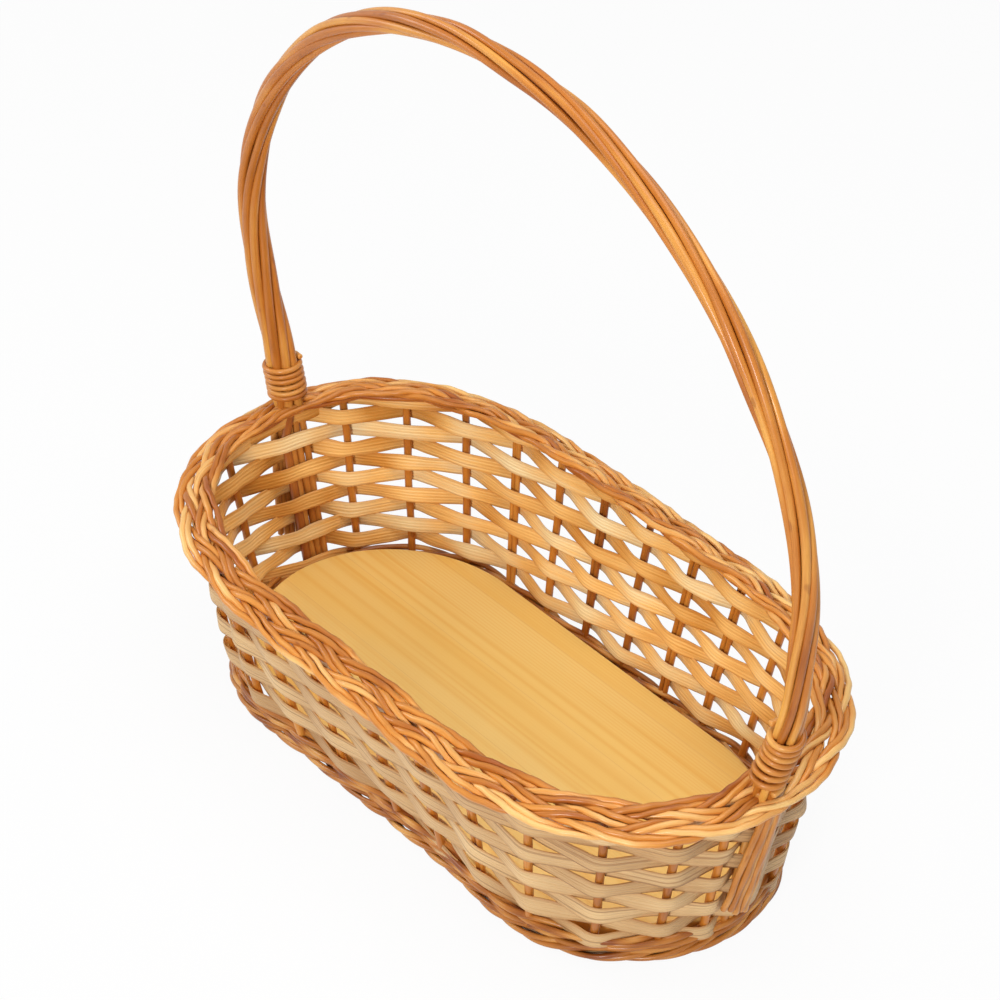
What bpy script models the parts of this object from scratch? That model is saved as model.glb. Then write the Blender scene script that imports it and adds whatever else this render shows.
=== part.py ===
"""A wicker foraging basket, built the way a basket maker builds one.

A pine base board sits on a roped willow foot. Willow stakes rise round it, flat splint bands are
woven in front of and behind them, a plaited rim closes the wall, and a bow handle of twisted rods
passes down through the rim into the weave and is bound with a willow rod at each end.
Lengths are in metres, up is +Z, the long side lies along X and the foot rests at height zero.
"""

import math

import bmesh
import bpy
import numpy as np

# Clearance kept between pieces that touch
GAP = 0.0003

# Wall centreline at the level of the board's top face
BOARD_TOP = 0.0210
BASE_HALF_LENGTH = 0.2015
BASE_HALF_WIDTH = 0.0935
BASE_STRAIGHT_SHARE = 0.475
BASE_SQUARENESS_SHARE = 2.0

# Wall centreline at the rim
RIM_HEIGHT = 0.1243
RIM_HALF_LENGTH = 0.2220
RIM_HALF_WIDTH = 0.1139
RIM_STRAIGHT_SHARE = 0.29
RIM_SQUARENESS_SHARE = 2.3
OUTLINE_STEPS = 160

# Base board
BOARD_CLEARANCE = 0.00075
BOARD_EDGE_BEVEL = 0.0010
BOARD_BEVEL_STEPS = 2
BOARD_CORNER_STEPS = 9

# Stakes, counting the two handle legs: the right leg is at 0, the left a little to the far side
STAKE_COUNT = 28
LEFT_LEG_SHARE = 0.49
STAKE_RADIUS = 0.0025
STAKE_SECTIONS = 2
NEAR_SPREAD_SHARE = 0.26
NEAR_SHIFT_SHARE = 0.04

# Woven bands
BAND_ROWS = 10
BAND_THICKNESS = 0.0013
BAND_ROW_GAP = 0.0006
BAND_FLAT = 0.0062

# Plaited rim: three flat strands that cross one another
RIM_STRANDS = 3
RIM_PERIODS = 8
RIM_SLIP_SHARE = 1 / 6
RIM_EYE = 0.0040
RIM_LAY_GAP = 0.0008
RIM_STRAND_HALF_WIDTH = 0.0043
RIM_STRAND_HALF_DEPTH = 0.0021
RIM_TILT_DEGREES = 18.0
RIM_STEPS_PER_PERIOD = 9
RIM_LEG_STEPS = 5
RIM_LEG_REACH = 0.0220
RIM_STRAND_SIDES = 8

# Roped foot: three round strands laid round one another
FOOT_STRANDS = 3
FOOT_TURNS = 9
FOOT_LAY_GAP = 0.0006
FOOT_FLATTENING = 0.0007
FOOT_STRAND_RADIUS = 0.0024
FOOT_STRAND_SIDES = 6
FOOT_STEPS_PER_TURN = 7
FOOT_FLAT_DEPTH = 0.0005

# Bow handle
HANDLE_BULGE = 0.0112
HANDLE_WIDEST_HEIGHT = 0.2488
HANDLE_CROWN_RISE = 0.2166
HANDLE_STATIONS = 34
HANDLE_PATH_STEPS = 720
CORE_RADIUS = 0.0029
ROD_COUNT = 7
ROD_RADIUS = 0.00205
ROD_CORE_GAP = 0.00035
ROD_TURNS = 2.0
ROD_FOOT_FLARE = 0.0006

# Leg rods that run down into the weave beside the core, and the fan of rod ends outside it
LEG_RODS_PER_SIDE = 1
FAN_ROD_COUNT = 4
FAN_SPACING = 0.0062
FAN_TOP_SPACING = 0.0014
FAN_TOP_STEP = 0.0011
FAN_LEAN_SHARE = 0.7
FAN_LOWEST_END = 0.0150
FAN_END_STEP = 0.0035
FAN_SECTIONS = 5

# Willow bindings at the handle's feet
BINDING_LOOPS = 7
BINDING_RADIUS = 0.0018
BINDING_PITCH = 0.0042
BINDING_CLEARANCE = 0.0005
BINDING_LOOP_POINTS = 16
BINDING_MEASURE_SHARE = 0.6

# Colours (red, green, blue), with roughness
PINE = ((0.83, 0.58, 0.27), 0.50)
SPLINT = ((0.84, 0.68, 0.44), 0.62)
SPLINT_DARK = ((0.78, 0.60, 0.36), 0.62)
PEELED_WILLOW = ((0.72, 0.43, 0.18), 0.45)
BROWN_WILLOW = ((0.52, 0.27, 0.11), 0.48)
STAKE_WILLOW = ((0.50, 0.26, 0.11), 0.52)

# Sizes that follow from the ones above
RIM_TILT = math.radians(RIM_TILT_DEGREES)
RIM_SPREAD = RIM_STRAND_HALF_WIDTH + RIM_EYE
RIM_RISE = 2 * RIM_STRAND_HALF_DEPTH + RIM_LAY_GAP
FOOT_FACET = math.pi / FOOT_STRAND_SIDES
FOOT_RISE = (2 * FOOT_STRAND_RADIUS + FOOT_LAY_GAP) / math.sqrt(3)
FOOT_SPREAD = FOOT_RISE + FOOT_FLATTENING
FOOT_CENTRE = FOOT_RISE + FOOT_STRAND_RADIUS * math.cos(FOOT_FACET) - FOOT_FLAT_DEPTH
FOOT_TOP = FOOT_CENTRE + FOOT_RISE + FOOT_STRAND_RADIUS
WALL_BOTTOM = FOOT_TOP + GAP
BOARD_BOTTOM = FOOT_TOP + GAP
WALL_LEAN = math.atan2(
    max(RIM_HALF_LENGTH - BASE_HALF_LENGTH, RIM_HALF_WIDTH - BASE_HALF_WIDTH),
    RIM_HEIGHT - BOARD_TOP,
)
UPRIGHT_RADIUS = max(CORE_RADIUS, STAKE_RADIUS)
BAND_OVER = (UPRIGHT_RADIUS + GAP + BAND_THICKNESS / 2) / math.cos(WALL_LEAN)
BAND_FACE = BAND_OVER + BAND_THICKNESS / 2 / math.cos(WALL_LEAN)
BOARD_INSET = BAND_FACE + BOARD_CLEARANCE
RIM_HALF_DEPTH = RIM_RISE + RIM_STRAND_HALF_DEPTH
WALL_TOP = RIM_HEIGHT - RIM_HALF_DEPTH - BAND_FACE * math.sin(RIM_TILT) - 2 * GAP
ROW_PITCH = (WALL_TOP - WALL_BOTTOM) / BAND_ROWS
BAND_WIDTH = ROW_PITCH - BAND_ROW_GAP
LEG_ROD_STEP = CORE_RADIUS + GAP + ROD_RADIUS
LEG_HALF_SPAN = LEG_ROD_STEP + ROD_RADIUS + GAP
ROD_RING_RADIUS = CORE_RADIUS + ROD_CORE_GAP + ROD_RADIUS
BUNDLE_RADIUS = ROD_RING_RADIUS + ROD_RADIUS
LEG_LEAN = abs(RIM_HALF_LENGTH - BASE_HALF_LENGTH) / (RIM_HEIGHT - BOARD_TOP)
RIM_HOLE_RADIUS = CORE_RADIUS + GAP + RIM_STRAND_HALF_WIDTH + RIM_HALF_DEPTH * LEG_LEAN
ARCH_START = RIM_HEIGHT + RIM_HALF_DEPTH + BUNDLE_RADIUS * math.sin(RIM_TILT) + GAP
HANDLE_HALF_WIDTH = RIM_HALF_LENGTH + HANDLE_BULGE
HANDLE_LOWER_RISE = (HANDLE_WIDEST_HEIGHT - RIM_HEIGHT) / math.sqrt(
    1 - (RIM_HALF_LENGTH / HANDLE_HALF_WIDTH) ** 2
)
BINDING_START = ARCH_START + BINDING_RADIUS + GAP
BINDING_LENGTH = BINDING_LOOPS * BINDING_PITCH
FAN_OFFSET = BAND_FACE + (GAP + ROD_RADIUS) / math.cos(WALL_LEAN)
FAN_TOP = RIM_HEIGHT - RIM_HALF_DEPTH - (FAN_OFFSET + ROD_RADIUS) * math.sin(RIM_TILT) - GAP


def clear_scene():
    """Removes every object of the startup scene."""
    for item in list(bpy.data.objects):
        bpy.data.objects.remove(item, do_unlink=True)


def new_collection(name, helper=False):
    """Adds a collection to the scene; a helper's objects are never part of the product."""
    collection = bpy.data.collections.new(name)
    collection.hide_render = helper
    bpy.context.scene.collection.children.link(collection)
    return collection


def make_material(name, finish):
    """One plain surface with its own colour and roughness."""
    colour, roughness = finish
    material = bpy.data.materials.new(name)
    material.use_nodes = True
    shader = material.node_tree.nodes["Principled BSDF"]
    shader.inputs["Base Color"].default_value = (*colour, 1.0)
    shader.inputs["Roughness"].default_value = roughness
    shader.inputs["Metallic"].default_value = 0.0
    material.diffuse_color = (*colour, 1.0)
    return material


def add_object(name, data, collection, finish):
    """Links an object with a material of its own."""
    data.materials.append(make_material(name, finish))
    item = bpy.data.objects.new(name, data)
    collection.objects.link(item)
    return item


def smooth(mesh):
    """Shades a round piece smoothly."""
    mesh.polygons.foreach_set("use_smooth", [True] * len(mesh.polygons))


def blend(first, last, share):
    """Goes from the first value to the last as the share goes from 0 to 1."""
    return first + (last - first) * share


def outline(height):
    """The wall's centreline at one height, counter-clockwise from the +X end.

    Each long side is straight and each end is a rounded curve. Returns the share of the way
    round at each point, the points, their outward directions and the length all the way round.
    """
    level = (height - BOARD_TOP) / (RIM_HEIGHT - BOARD_TOP)
    half_length = blend(BASE_HALF_LENGTH, RIM_HALF_LENGTH, level)
    half_width = blend(BASE_HALF_WIDTH, RIM_HALF_WIDTH, level)
    straight = half_length * blend(BASE_STRAIGHT_SHARE, RIM_STRAIGHT_SHARE, level)
    power = 2 / blend(BASE_SQUARENESS_SHARE, RIM_SQUARENESS_SHARE, level)
    turn = np.linspace(0, math.pi / 2, OUTLINE_STEPS + 1)
    along = straight + (half_length - straight) * np.clip(np.cos(turn), 0, 1) ** power
    across = half_width * np.sin(turn) ** power
    quarter = np.stack([along, across], 1)
    half = np.vstack([quarter, (quarter * (-1, 1))[::-1]])
    points = np.vstack([half, (half * (1, -1))[::-1][1:]])
    steps = np.linalg.norm(np.diff(points, axis=0), axis=1)
    keep = np.concatenate([[True], steps > GAP / OUTLINE_STEPS])
    points = points[keep]
    travelled = np.concatenate([[0.0], np.cumsum(np.linalg.norm(np.diff(points, axis=0), axis=1))])
    ring = points[:-1]
    tangent = np.roll(ring, -1, 0) - np.roll(ring, 1, 0)
    normal = np.stack([tangent[:, 1], -tangent[:, 0]], 1)
    normal /= np.linalg.norm(normal, axis=1, keepdims=True)
    return travelled / travelled[-1], points, np.vstack([normal, normal[:1]]), travelled[-1]


def wall_points(shares, height, offsets=0.0, lifts=0.0):
    """Points on the wall at shares of the way round, moved outward and up by given amounts."""
    place, points, normals, _ = outline(height)
    shares = np.mod(np.asarray(shares, float), 1.0)
    centre = np.stack([np.interp(shares, place, points[:, axis]) for axis in (0, 1)], 1)
    normal = np.stack([np.interp(shares, place, normals[:, axis]) for axis in (0, 1)], 1)
    normal /= np.linalg.norm(normal, axis=1, keepdims=True)
    flat = centre + normal * np.broadcast_to(offsets, shares.shape)[:, None]
    return np.column_stack([flat, np.full(len(shares), height) + lifts])


def girth(height):
    """The length round the wall's centreline at one height."""
    return outline(height)[3]


def stake_shares():
    """Where the stakes stand, as shares of the way round; the first and the middle one are legs.

    The far side's stakes are evenly spaced. The near side's are closer together at the ends.
    """
    half = STAKE_COUNT // 2
    steps = np.arange(half) / half
    shift = 2 * math.pi * NEAR_SHIFT_SHARE
    wave = np.sin(2 * math.pi * steps + shift) - math.sin(shift)
    near = steps - NEAR_SPREAD_SHARE / (2 * math.pi) * wave
    far = steps * LEFT_LEG_SHARE
    return np.concatenate([far, [LEFT_LEG_SHARE], (1 - near[1:] / 2)[::-1]])


def stake_points(shares, height):
    """Where the stakes with these shares stand at one height: each is straight from foot to rim."""
    foot, top = (wall_points(shares, level) for level in (WALL_BOTTOM, WALL_TOP))
    return blend(foot, top, (height - WALL_BOTTOM) / (WALL_TOP - WALL_BOTTOM))


def tube(name, points, radius, collection, finish, resolution=2):
    """A round rod along a row of points, with closed ends."""
    curve = bpy.data.curves.new(name, "CURVE")
    curve.dimensions = "3D"
    curve.bevel_depth = radius
    curve.bevel_resolution = resolution
    curve.use_fill_caps = True
    spline = curve.splines.new("POLY")
    spline.points.add(len(points) - 1)
    spline.points.foreach_set("co", np.column_stack([points, np.ones(len(points))]).ravel())
    spline.use_smooth = True
    return add_object(name, curve, collection, finish)


def solid_tube(name, points, radius, collection, finish):
    """The same rod as a mesh, so that Booleans can use it."""
    rod = tube(name + "_path", points, radius, collection, finish, 1)
    bpy.context.view_layer.update()
    mesh = bpy.data.meshes.new_from_object(rod.evaluated_get(bpy.context.evaluated_depsgraph_get()))
    bpy.data.objects.remove(rod, do_unlink=True)
    work = bmesh.new()
    work.from_mesh(mesh)
    bmesh.ops.remove_doubles(work, verts=work.verts, dist=GAP / OUTLINE_STEPS)
    bmesh.ops.recalc_face_normals(work, faces=work.faces)
    work.to_mesh(mesh)
    work.free()
    mesh.materials.clear()
    return add_object(name, mesh, collection, finish)


def ring_faces(count, sides):
    """Faces between neighbouring sections of a closed ring of sections."""
    first = np.arange(count)[:, None] * sides
    following = np.roll(first, -1, 0)
    side = np.arange(sides)[None, :]
    after = np.roll(side, -1, 1)
    faces = np.stack([first + side, following + side, following + after, first + after], -1)
    return faces.reshape(-1, 4).tolist()


def closed_strand(name, centres, across, upward, half_width, half_depth, sides, lowest):
    """A loft of equal oval sections, a facet at their foot, along a closed path.

    Nothing of it lies below the lowest height, so what would is flat there.
    """
    turn = 2 * math.pi * (np.arange(sides) + 0.5) / sides - math.pi / 2
    wide = across[:, None, :] * (half_width * np.cos(turn))[None, :, None]
    deep = upward[:, None, :] * (half_depth * np.sin(turn))[None, :, None]
    points = (centres[:, None, :] + wide + deep).reshape(-1, 3)
    points[:, 2] = np.maximum(points[:, 2], lowest)
    mesh = bpy.data.meshes.new(name)
    mesh.from_pydata(points.tolist(), [], ring_faces(len(centres), sides))
    work = bmesh.new()
    work.from_mesh(mesh)
    bmesh.ops.recalc_face_normals(work, faces=work.faces)
    work.to_mesh(mesh)
    work.free()
    smooth(mesh)
    return mesh


def section_frames(centres, plane_normal):
    """Across and upward directions of a section at each point of a closed path."""
    tangent = np.roll(centres, -1, 0) - np.roll(centres, 1, 0)
    across = np.cross(tangent, plane_normal)
    across /= np.linalg.norm(across, axis=1, keepdims=True)
    upward = np.cross(across, tangent)
    return across, upward / np.linalg.norm(upward, axis=1, keepdims=True)


def build_board(collection):
    """The pine board: the wall's outline drawn in, extruded, with its edges eased.

    Where the wall leans, the board fits the narrower of its own two levels.
    """
    place, points, _, _ = outline(BOARD_BOTTOM)
    corner = np.linspace(0, place[np.argmax(points[:, 1])], BOARD_CORNER_STEPS + 1)
    shares = np.concatenate([corner, (0.5 - corner)[::-1], 0.5 + corner[1:], (1 - corner)[:0:-1]])
    low, high = (wall_points(shares, level, -BOARD_INSET) for level in (BOARD_BOTTOM, BOARD_TOP))
    edge = np.where(np.abs(low) < np.abs(high), low, high)
    work = bmesh.new()
    face = work.faces.new([work.verts.new((x, y, BOARD_BOTTOM)) for x, y, _ in edge])
    raised = bmesh.ops.extrude_face_region(work, geom=[face])["geom"]
    lifted = [item for item in raised if isinstance(item, bmesh.types.BMVert)]
    bmesh.ops.translate(work, verts=lifted, vec=(0, 0, BOARD_TOP - BOARD_BOTTOM))
    bmesh.ops.recalc_face_normals(work, faces=work.faces)
    mesh = bpy.data.meshes.new("base_board")
    work.to_mesh(mesh)
    work.free()
    board = add_object("base_board", mesh, collection, PINE)
    bevel = board.modifiers.new("eased_edges", "BEVEL")
    bevel.width = BOARD_EDGE_BEVEL
    bevel.segments = BOARD_BEVEL_STEPS
    bevel.limit_method = "ANGLE"
    bevel.angle_limit = math.radians(60)
    return board


def build_stakes(collection):
    """Every upright rod of the wall but the two handle legs."""
    heights = np.linspace(WALL_BOTTOM, WALL_TOP, STAKE_SECTIONS)
    legs = (0, STAKE_COUNT // 2)
    upright = [share for index, share in enumerate(stake_shares()) if index not in legs]
    for number, share in enumerate(upright, 1):
        points = np.vstack([wall_points([share], height) for height in heights])
        tube(f"stake_{number:02d}", points, STAKE_RADIUS, collection, STAKE_WILLOW)


def band_course(row, height):
    """One woven band: in front of one stake, behind the next.

    Returns the shares and offsets of its bends, and the share of the stake at each of them.
    """
    around = girth(height)
    legs = (0, STAKE_COUNT // 2)
    shares, offsets, carriers = [], [], []
    for index, share in enumerate(stake_shares()):
        side = 1 if (index + row) % 2 == 0 else -1
        reach = LEG_HALF_SPAN if index in legs else BAND_FLAT / 2
        stops = (-reach, 0.0, reach) if index in legs else (-reach, reach)
        shares += [share + stop / around for stop in stops]
        offsets += [side * BAND_OVER] * len(stops)
        carriers += [share] * len(stops)
    return np.array(shares), np.array(offsets), np.array(carriers)


def build_band(row, collection):
    """One closed band: a sloping strip round the wall, thickened to both sides."""
    lower = WALL_BOTTOM + row * ROW_PITCH + BAND_ROW_GAP / 2
    upper = lower + BAND_WIDTH
    shares, offsets, carriers = band_course(row, (lower + upper) / 2)
    edges = [
        stake_points(carriers, height) - wall_points(carriers, height)
        + wall_points(shares, height, offsets)
        for height in (lower, upper)
    ]
    points = np.stack(edges, 1).reshape(-1, 3)
    count = len(shares)
    first = np.arange(count) * 2
    following = np.roll(first, -1)
    faces = np.stack([first, following, following + 1, first + 1], 1).tolist()
    name = f"band_row_{row + 1:02d}"
    mesh = bpy.data.meshes.new(name)
    mesh.from_pydata(points.tolist(), [], faces)
    band = add_object(name, mesh, collection, SPLINT if row % 2 else SPLINT_DARK)
    thick = band.modifiers.new("thickness", "SOLIDIFY")
    thick.thickness = BAND_THICKNESS
    thick.offset = 0.0
    thick.use_even_offset = True
    return band


def clear_of_legs(along, outward, around):
    """Moves a rim strand aside where a handle leg comes up through the plait.

    Each point moves straight away from its nearest leg, the more the closer it lies, so that
    the strand passes the leg outside a round hole of RIM_HOLE_RADIUS.
    """
    legs = np.array([0.0, LEFT_LEG_SHARE, 1.0]) * around
    leg = legs[np.abs(along[:, None] - legs).argmin(1)]
    beside = along - leg
    distance = np.hypot(beside, outward)
    nearest = RIM_SPREAD * math.cos(math.radians(60)) * math.cos(RIM_TILT)
    opening = math.sqrt(max(RIM_HOLE_RADIUS**2 - nearest**2, 0.0))
    pushed = np.hypot(distance, opening) / np.maximum(distance, GAP)
    return leg + beside * pushed, outward * pushed


def rim_shares():
    """Evenly spaced stops round the rim, with more of them beside each handle leg."""
    around = girth(RIM_HEIGHT)
    even = np.arange(RIM_PERIODS * RIM_STEPS_PER_PERIOD) / (RIM_PERIODS * RIM_STEPS_PER_PERIOD)
    close = np.linspace(-RIM_LEG_REACH, RIM_LEG_REACH, 2 * RIM_LEG_STEPS + 1) / around
    legs = np.array([0.0, LEFT_LEG_SHARE, 1.0])
    away = np.abs(even[:, None] - legs).min(1)
    even = even[away > (RIM_LEG_REACH / around) * (1 + 1 / RIM_LEG_STEPS)]
    return np.sort(np.mod(np.concatenate([even, close, close + legs[1]]), 1.0))


def build_rim_strand(index, collection):
    """One strand of the plait: it swings out and in while it rises and dips twice as often.

    The plait is a little tighter on the far side, so that the left leg too meets an eye of it.
    """
    around = girth(RIM_HEIGHT)
    shares = rim_shares()
    missing = RIM_PERIODS * (0.5 - LEFT_LEG_SHARE) + RIM_SLIP_SHARE
    slip = missing * (np.sin(math.pi * shares) / math.sin(math.pi * LEFT_LEG_SHARE)) ** 2
    phase = 2 * math.pi * (RIM_PERIODS * shares + slip + index / RIM_STRANDS) - math.pi / 2
    swing = RIM_SPREAD * np.sin(phase)
    rise = RIM_RISE * np.sin(2 * phase)
    along, swing = clear_of_legs(shares * around, swing, around)
    outward = swing * math.cos(RIM_TILT) + rise * math.sin(RIM_TILT)
    lift = rise * math.cos(RIM_TILT) - swing * math.sin(RIM_TILT)
    centres = wall_points(along / around, RIM_HEIGHT, outward, lift)
    inner, outer = (wall_points(along / around, RIM_HEIGHT, reach) for reach in (0.0, RIM_SPREAD))
    facing = (outer - inner) / np.linalg.norm(outer - inner, axis=1, keepdims=True)
    plane_normal = facing * math.sin(RIM_TILT) + np.array([0, 0, math.cos(RIM_TILT)])
    across, upward = section_frames(centres, plane_normal)
    name = f"rim_strand_{index + 1}"
    size = (RIM_STRAND_HALF_WIDTH, RIM_STRAND_HALF_DEPTH)
    mesh = closed_strand(name, centres, across, upward, *size, RIM_STRAND_SIDES, 0.0)
    return add_object(name, mesh, collection, PEELED_WILLOW)


def build_foot_strand(index, collection):
    """One strand of the roped foot, with the flats it stands on."""
    steps = FOOT_TURNS * FOOT_STEPS_PER_TURN
    step = 2 * math.pi / FOOT_STEPS_PER_TURN
    phase = np.arange(steps) * step - math.pi / 2 + step / 2
    shares = (phase / (2 * math.pi) - index / FOOT_STRANDS) / FOOT_TURNS
    outward = FOOT_SPREAD * np.cos(phase)
    lift = FOOT_RISE * np.sin(phase)
    centres = wall_points(shares, FOOT_CENTRE, outward, lift)
    upright = np.tile([0.0, 0.0, 1.0], (steps, 1))
    across, upward = section_frames(centres, upright)
    name = f"foot_strand_{index + 1}"
    size = (FOOT_STRAND_RADIUS, FOOT_STRAND_RADIUS)
    mesh = closed_strand(name, centres, across, upward, *size, FOOT_STRAND_SIDES, 0.0)
    return add_object(name, mesh, collection, BROWN_WILLOW)


def handle_plane():
    """The upright plane through both handle legs at the rim.

    Returns the point midway between them at height zero, half their distance, and the level
    directions along the plane towards the right leg and across it.
    """
    right, left = wall_points([0.0, LEFT_LEG_SHARE], RIM_HEIGHT) * (1, 1, 0)
    half = np.linalg.norm(right - left) / 2
    along = (right - left) / (2 * half)
    return (right + left) / 2, half, along, np.cross((0, 0, 1), along)


def arch_path():
    """The handle's centreline above the rim, evenly spaced, from the +X end to the -X end.

    The crown is half an ellipse. Below its widest level it draws in again to meet the rim.
    """
    height = np.linspace(ARCH_START, HANDLE_WIDEST_HEIGHT, HANDLE_PATH_STEPS)[:-1]
    drop = (HANDLE_WIDEST_HEIGHT - height) / HANDLE_LOWER_RISE
    lower = np.stack([HANDLE_HALF_WIDTH * np.sqrt(1 - drop**2), height], 1)
    turn = np.linspace(0, math.pi / 2, HANDLE_PATH_STEPS)
    crown = np.stack(
        [HANDLE_HALF_WIDTH * np.cos(turn), HANDLE_WIDEST_HEIGHT + HANDLE_CROWN_RISE * np.sin(turn)], 1
    )
    half = np.vstack([lower, crown]) * (handle_plane()[1] / RIM_HALF_LENGTH, 1)
    path = np.vstack([half, (half * (-1, 1))[::-1][1:]])
    travelled = np.concatenate([[0.0], np.cumsum(np.linalg.norm(np.diff(path, axis=0), axis=1))])
    return travelled, path


def arch_points(distances):
    """Points on the handle's centreline, and the directions outward and sideways at each."""
    travelled, path = arch_path()
    middle, _, along, across = handle_plane()
    upright = np.array([0.0, 0.0, 1.0])
    place = np.stack([np.interp(distances, travelled, path[:, axis]) for axis in (0, 1)], 1)
    slope = np.gradient(path, travelled, axis=0)
    way = np.stack([np.interp(distances, travelled, slope[:, axis]) for axis in (0, 1)], 1)
    way /= np.linalg.norm(way, axis=1, keepdims=True)
    centre = middle + place[:, :1] * along + place[:, 1:] * upright
    outward = way[:, 1:] * along - way[:, :1] * upright
    return centre, outward, np.tile(across, (len(centre), 1))


def arch_stations():
    """Distances along the handle at which its rods have a point, closer together in the bindings."""
    total = arch_path()[0][-1]
    return np.linspace(0, total, HANDLE_STATIONS)


def rod_ring(distances):
    """How far the rods lie from the handle's centreline: a little wider at its feet."""
    total = arch_path()[0][-1]
    from_foot = np.minimum(distances, total - distances)
    near = np.clip(1 - from_foot / BINDING_LENGTH, 0, 1)
    return ROD_RING_RADIUS + ROD_FOOT_FLARE * near


def build_core(collection):
    """The thick bow rod: up one leg through the weave and the rim, over, and down the other."""
    heights = np.append(np.linspace(WALL_BOTTOM, WALL_TOP, STAKE_SECTIONS), RIM_HEIGHT)
    right = np.vstack([wall_points([0.0], height) for height in heights])
    left = np.vstack([wall_points([LEFT_LEG_SHARE], height) for height in heights])
    centre, _, _ = arch_points(arch_stations())
    points = np.vstack([right, centre, left[::-1]])
    return tube("handle_core", points, CORE_RADIUS, collection, BROWN_WILLOW)


def build_handle_rods(collection):
    """The rods that lie round the core with a long, slow twist."""
    distances = arch_stations()
    centre, outward, sideways = arch_points(distances)
    turned = 2 * math.pi * ROD_TURNS * distances / distances[-1]
    ring = rod_ring(distances)[:, None]
    for index in range(ROD_COUNT):
        angle = (turned + 2 * math.pi * index / ROD_COUNT)[:, None]
        points = centre + ring * (np.cos(angle) * outward + np.sin(angle) * sideways)
        tube(f"handle_rod_{index + 1}", points, ROD_RADIUS, collection, PEELED_WILLOW, 1)


def least_gap(points, loop_points, diameter):
    """The smallest space between one loop of a winding and the next."""
    dense = np.linspace(0, len(points) - 1, 4 * len(points))
    fine = np.stack([np.interp(dense, np.arange(len(points)), points[:, axis]) for axis in range(3)], 1)
    apart = np.abs(dense[:, None] - dense[None, :]) > BINDING_MEASURE_SHARE * loop_points
    space = np.linalg.norm(fine[:, None] - fine[None, :], axis=2)
    return space[apart].min() - diameter


def build_binding(side, collection):
    """One willow rod wound round the handle's foot, its ends running straight off the last loop."""
    total = arch_path()[0][-1]
    count = BINDING_LOOPS * BINDING_LOOP_POINTS
    turn = 2 * math.pi * np.arange(count + 1) / BINDING_LOOP_POINTS
    rise = (BINDING_START - ARCH_START) + BINDING_PITCH * turn / (2 * math.pi)
    distances = rise if side == "right" else total - rise
    centre, outward, sideways = arch_points(distances)
    bundle = rod_ring(distances) + ROD_RADIUS
    reach = (bundle + BINDING_CLEARANCE + BINDING_RADIUS)[:, None]
    points = centre + reach * (np.cos(turn)[:, None] * outward + np.sin(turn)[:, None] * sideways)
    first = points[0] - points[1]
    last = points[-1] - points[-2]
    head = points[0] + first / np.linalg.norm(first) * 2 * BINDING_RADIUS
    tail = points[-1] + last / np.linalg.norm(last) * 2 * BINDING_RADIUS
    points = np.vstack([head, points, tail])
    gap = least_gap(points, BINDING_LOOP_POINTS, 2 * BINDING_RADIUS)
    print(f"handle_binding_{side}: least gap between its loops {gap * 1000:.2f} mm")
    return tube(f"handle_binding_{side}", points, BINDING_RADIUS, collection, PEELED_WILLOW, 1)


def build_leg_rods(side, share, collection):
    """The rods that go down inside the weave on each side of the core."""
    heights = np.linspace(WALL_BOTTOM, WALL_TOP, STAKE_SECTIONS)
    for number in range(1, LEG_RODS_PER_SIDE + 1):
        for label, way in (("a", 1), ("b", -1)):
            step = way * (LEG_ROD_STEP + (number - 1) * (2 * ROD_RADIUS + GAP))
            points = np.vstack(
                [wall_points([share + step / girth(height)], height) for height in heights]
            )
            tube(f"leg_rod_{side}_{label}{number}", points, ROD_RADIUS, collection, PEELED_WILLOW)


def build_leg_fan(side, share, way, collection, cutters):
    """The rod ends outside the weave: they leave the rim together and spread down the wall."""
    rods = []
    for index in range(FAN_ROD_COUNT):
        start = FAN_TOP - index * FAN_TOP_STEP
        end = FAN_LOWEST_END + index * FAN_END_STEP
        heights = np.linspace(start, end, FAN_SECTIONS)
        gone = (FAN_TOP - heights) / (FAN_TOP - FAN_LOWEST_END)
        spacing = blend(FAN_TOP_SPACING, FAN_SPACING, gone)
        aside = way * spacing * (FAN_LEAN_SHARE * (FAN_ROD_COUNT - 1) - index)
        points = np.vstack(
            [
                wall_points([share + step / girth(height)], height, FAN_OFFSET)
                for step, height in zip(aside, heights)
            ]
        )
        holder = collection if index == 0 else cutters
        name = f"leg_fan_{side}" if index == 0 else f"leg_fan_{side}_rod_{index + 1}"
        rods.append(solid_tube(name, points, ROD_RADIUS, holder, PEELED_WILLOW))
    for rod in rods[1:]:
        rod.hide_render = True
        rod.display_type = "WIRE"
        joined = rods[0].modifiers.new("join_" + rod.name, "BOOLEAN")
        joined.operation = "UNION"
        joined.solver = "EXACT"
        joined.object = rod
    return rods[0]


def main():
    """Builds every piece of the basket, from the foot up."""
    clear_scene()
    basket = new_collection("foraging_basket")
    cutters = new_collection("cutters", helper=True)
    for index in range(FOOT_STRANDS):
        build_foot_strand(index, basket)
    build_board(basket)
    build_stakes(basket)
    for row in range(BAND_ROWS):
        build_band(row, basket)
    for index in range(RIM_STRANDS):
        build_rim_strand(index, basket)
    build_core(basket)
    build_handle_rods(basket)
    for side, share, way in (("right", 0.0, -1), ("left", LEFT_LEG_SHARE, 1)):
        build_leg_rods(side, share, basket)
        build_leg_fan(side, share, way, basket, cutters)
        build_binding(side, basket)


main()
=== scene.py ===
"""Looks of a wicker foraging basket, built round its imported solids.

Each sub-assembly is a class: its sizes are fields, and its methods shape its meshes with numpy
and dress them. Lengths are in metres, up is +Z, and the long side lies along X.
"""

import logging
import math
from dataclasses import dataclass, field
from enum import Enum
from functools import cached_property

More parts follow.
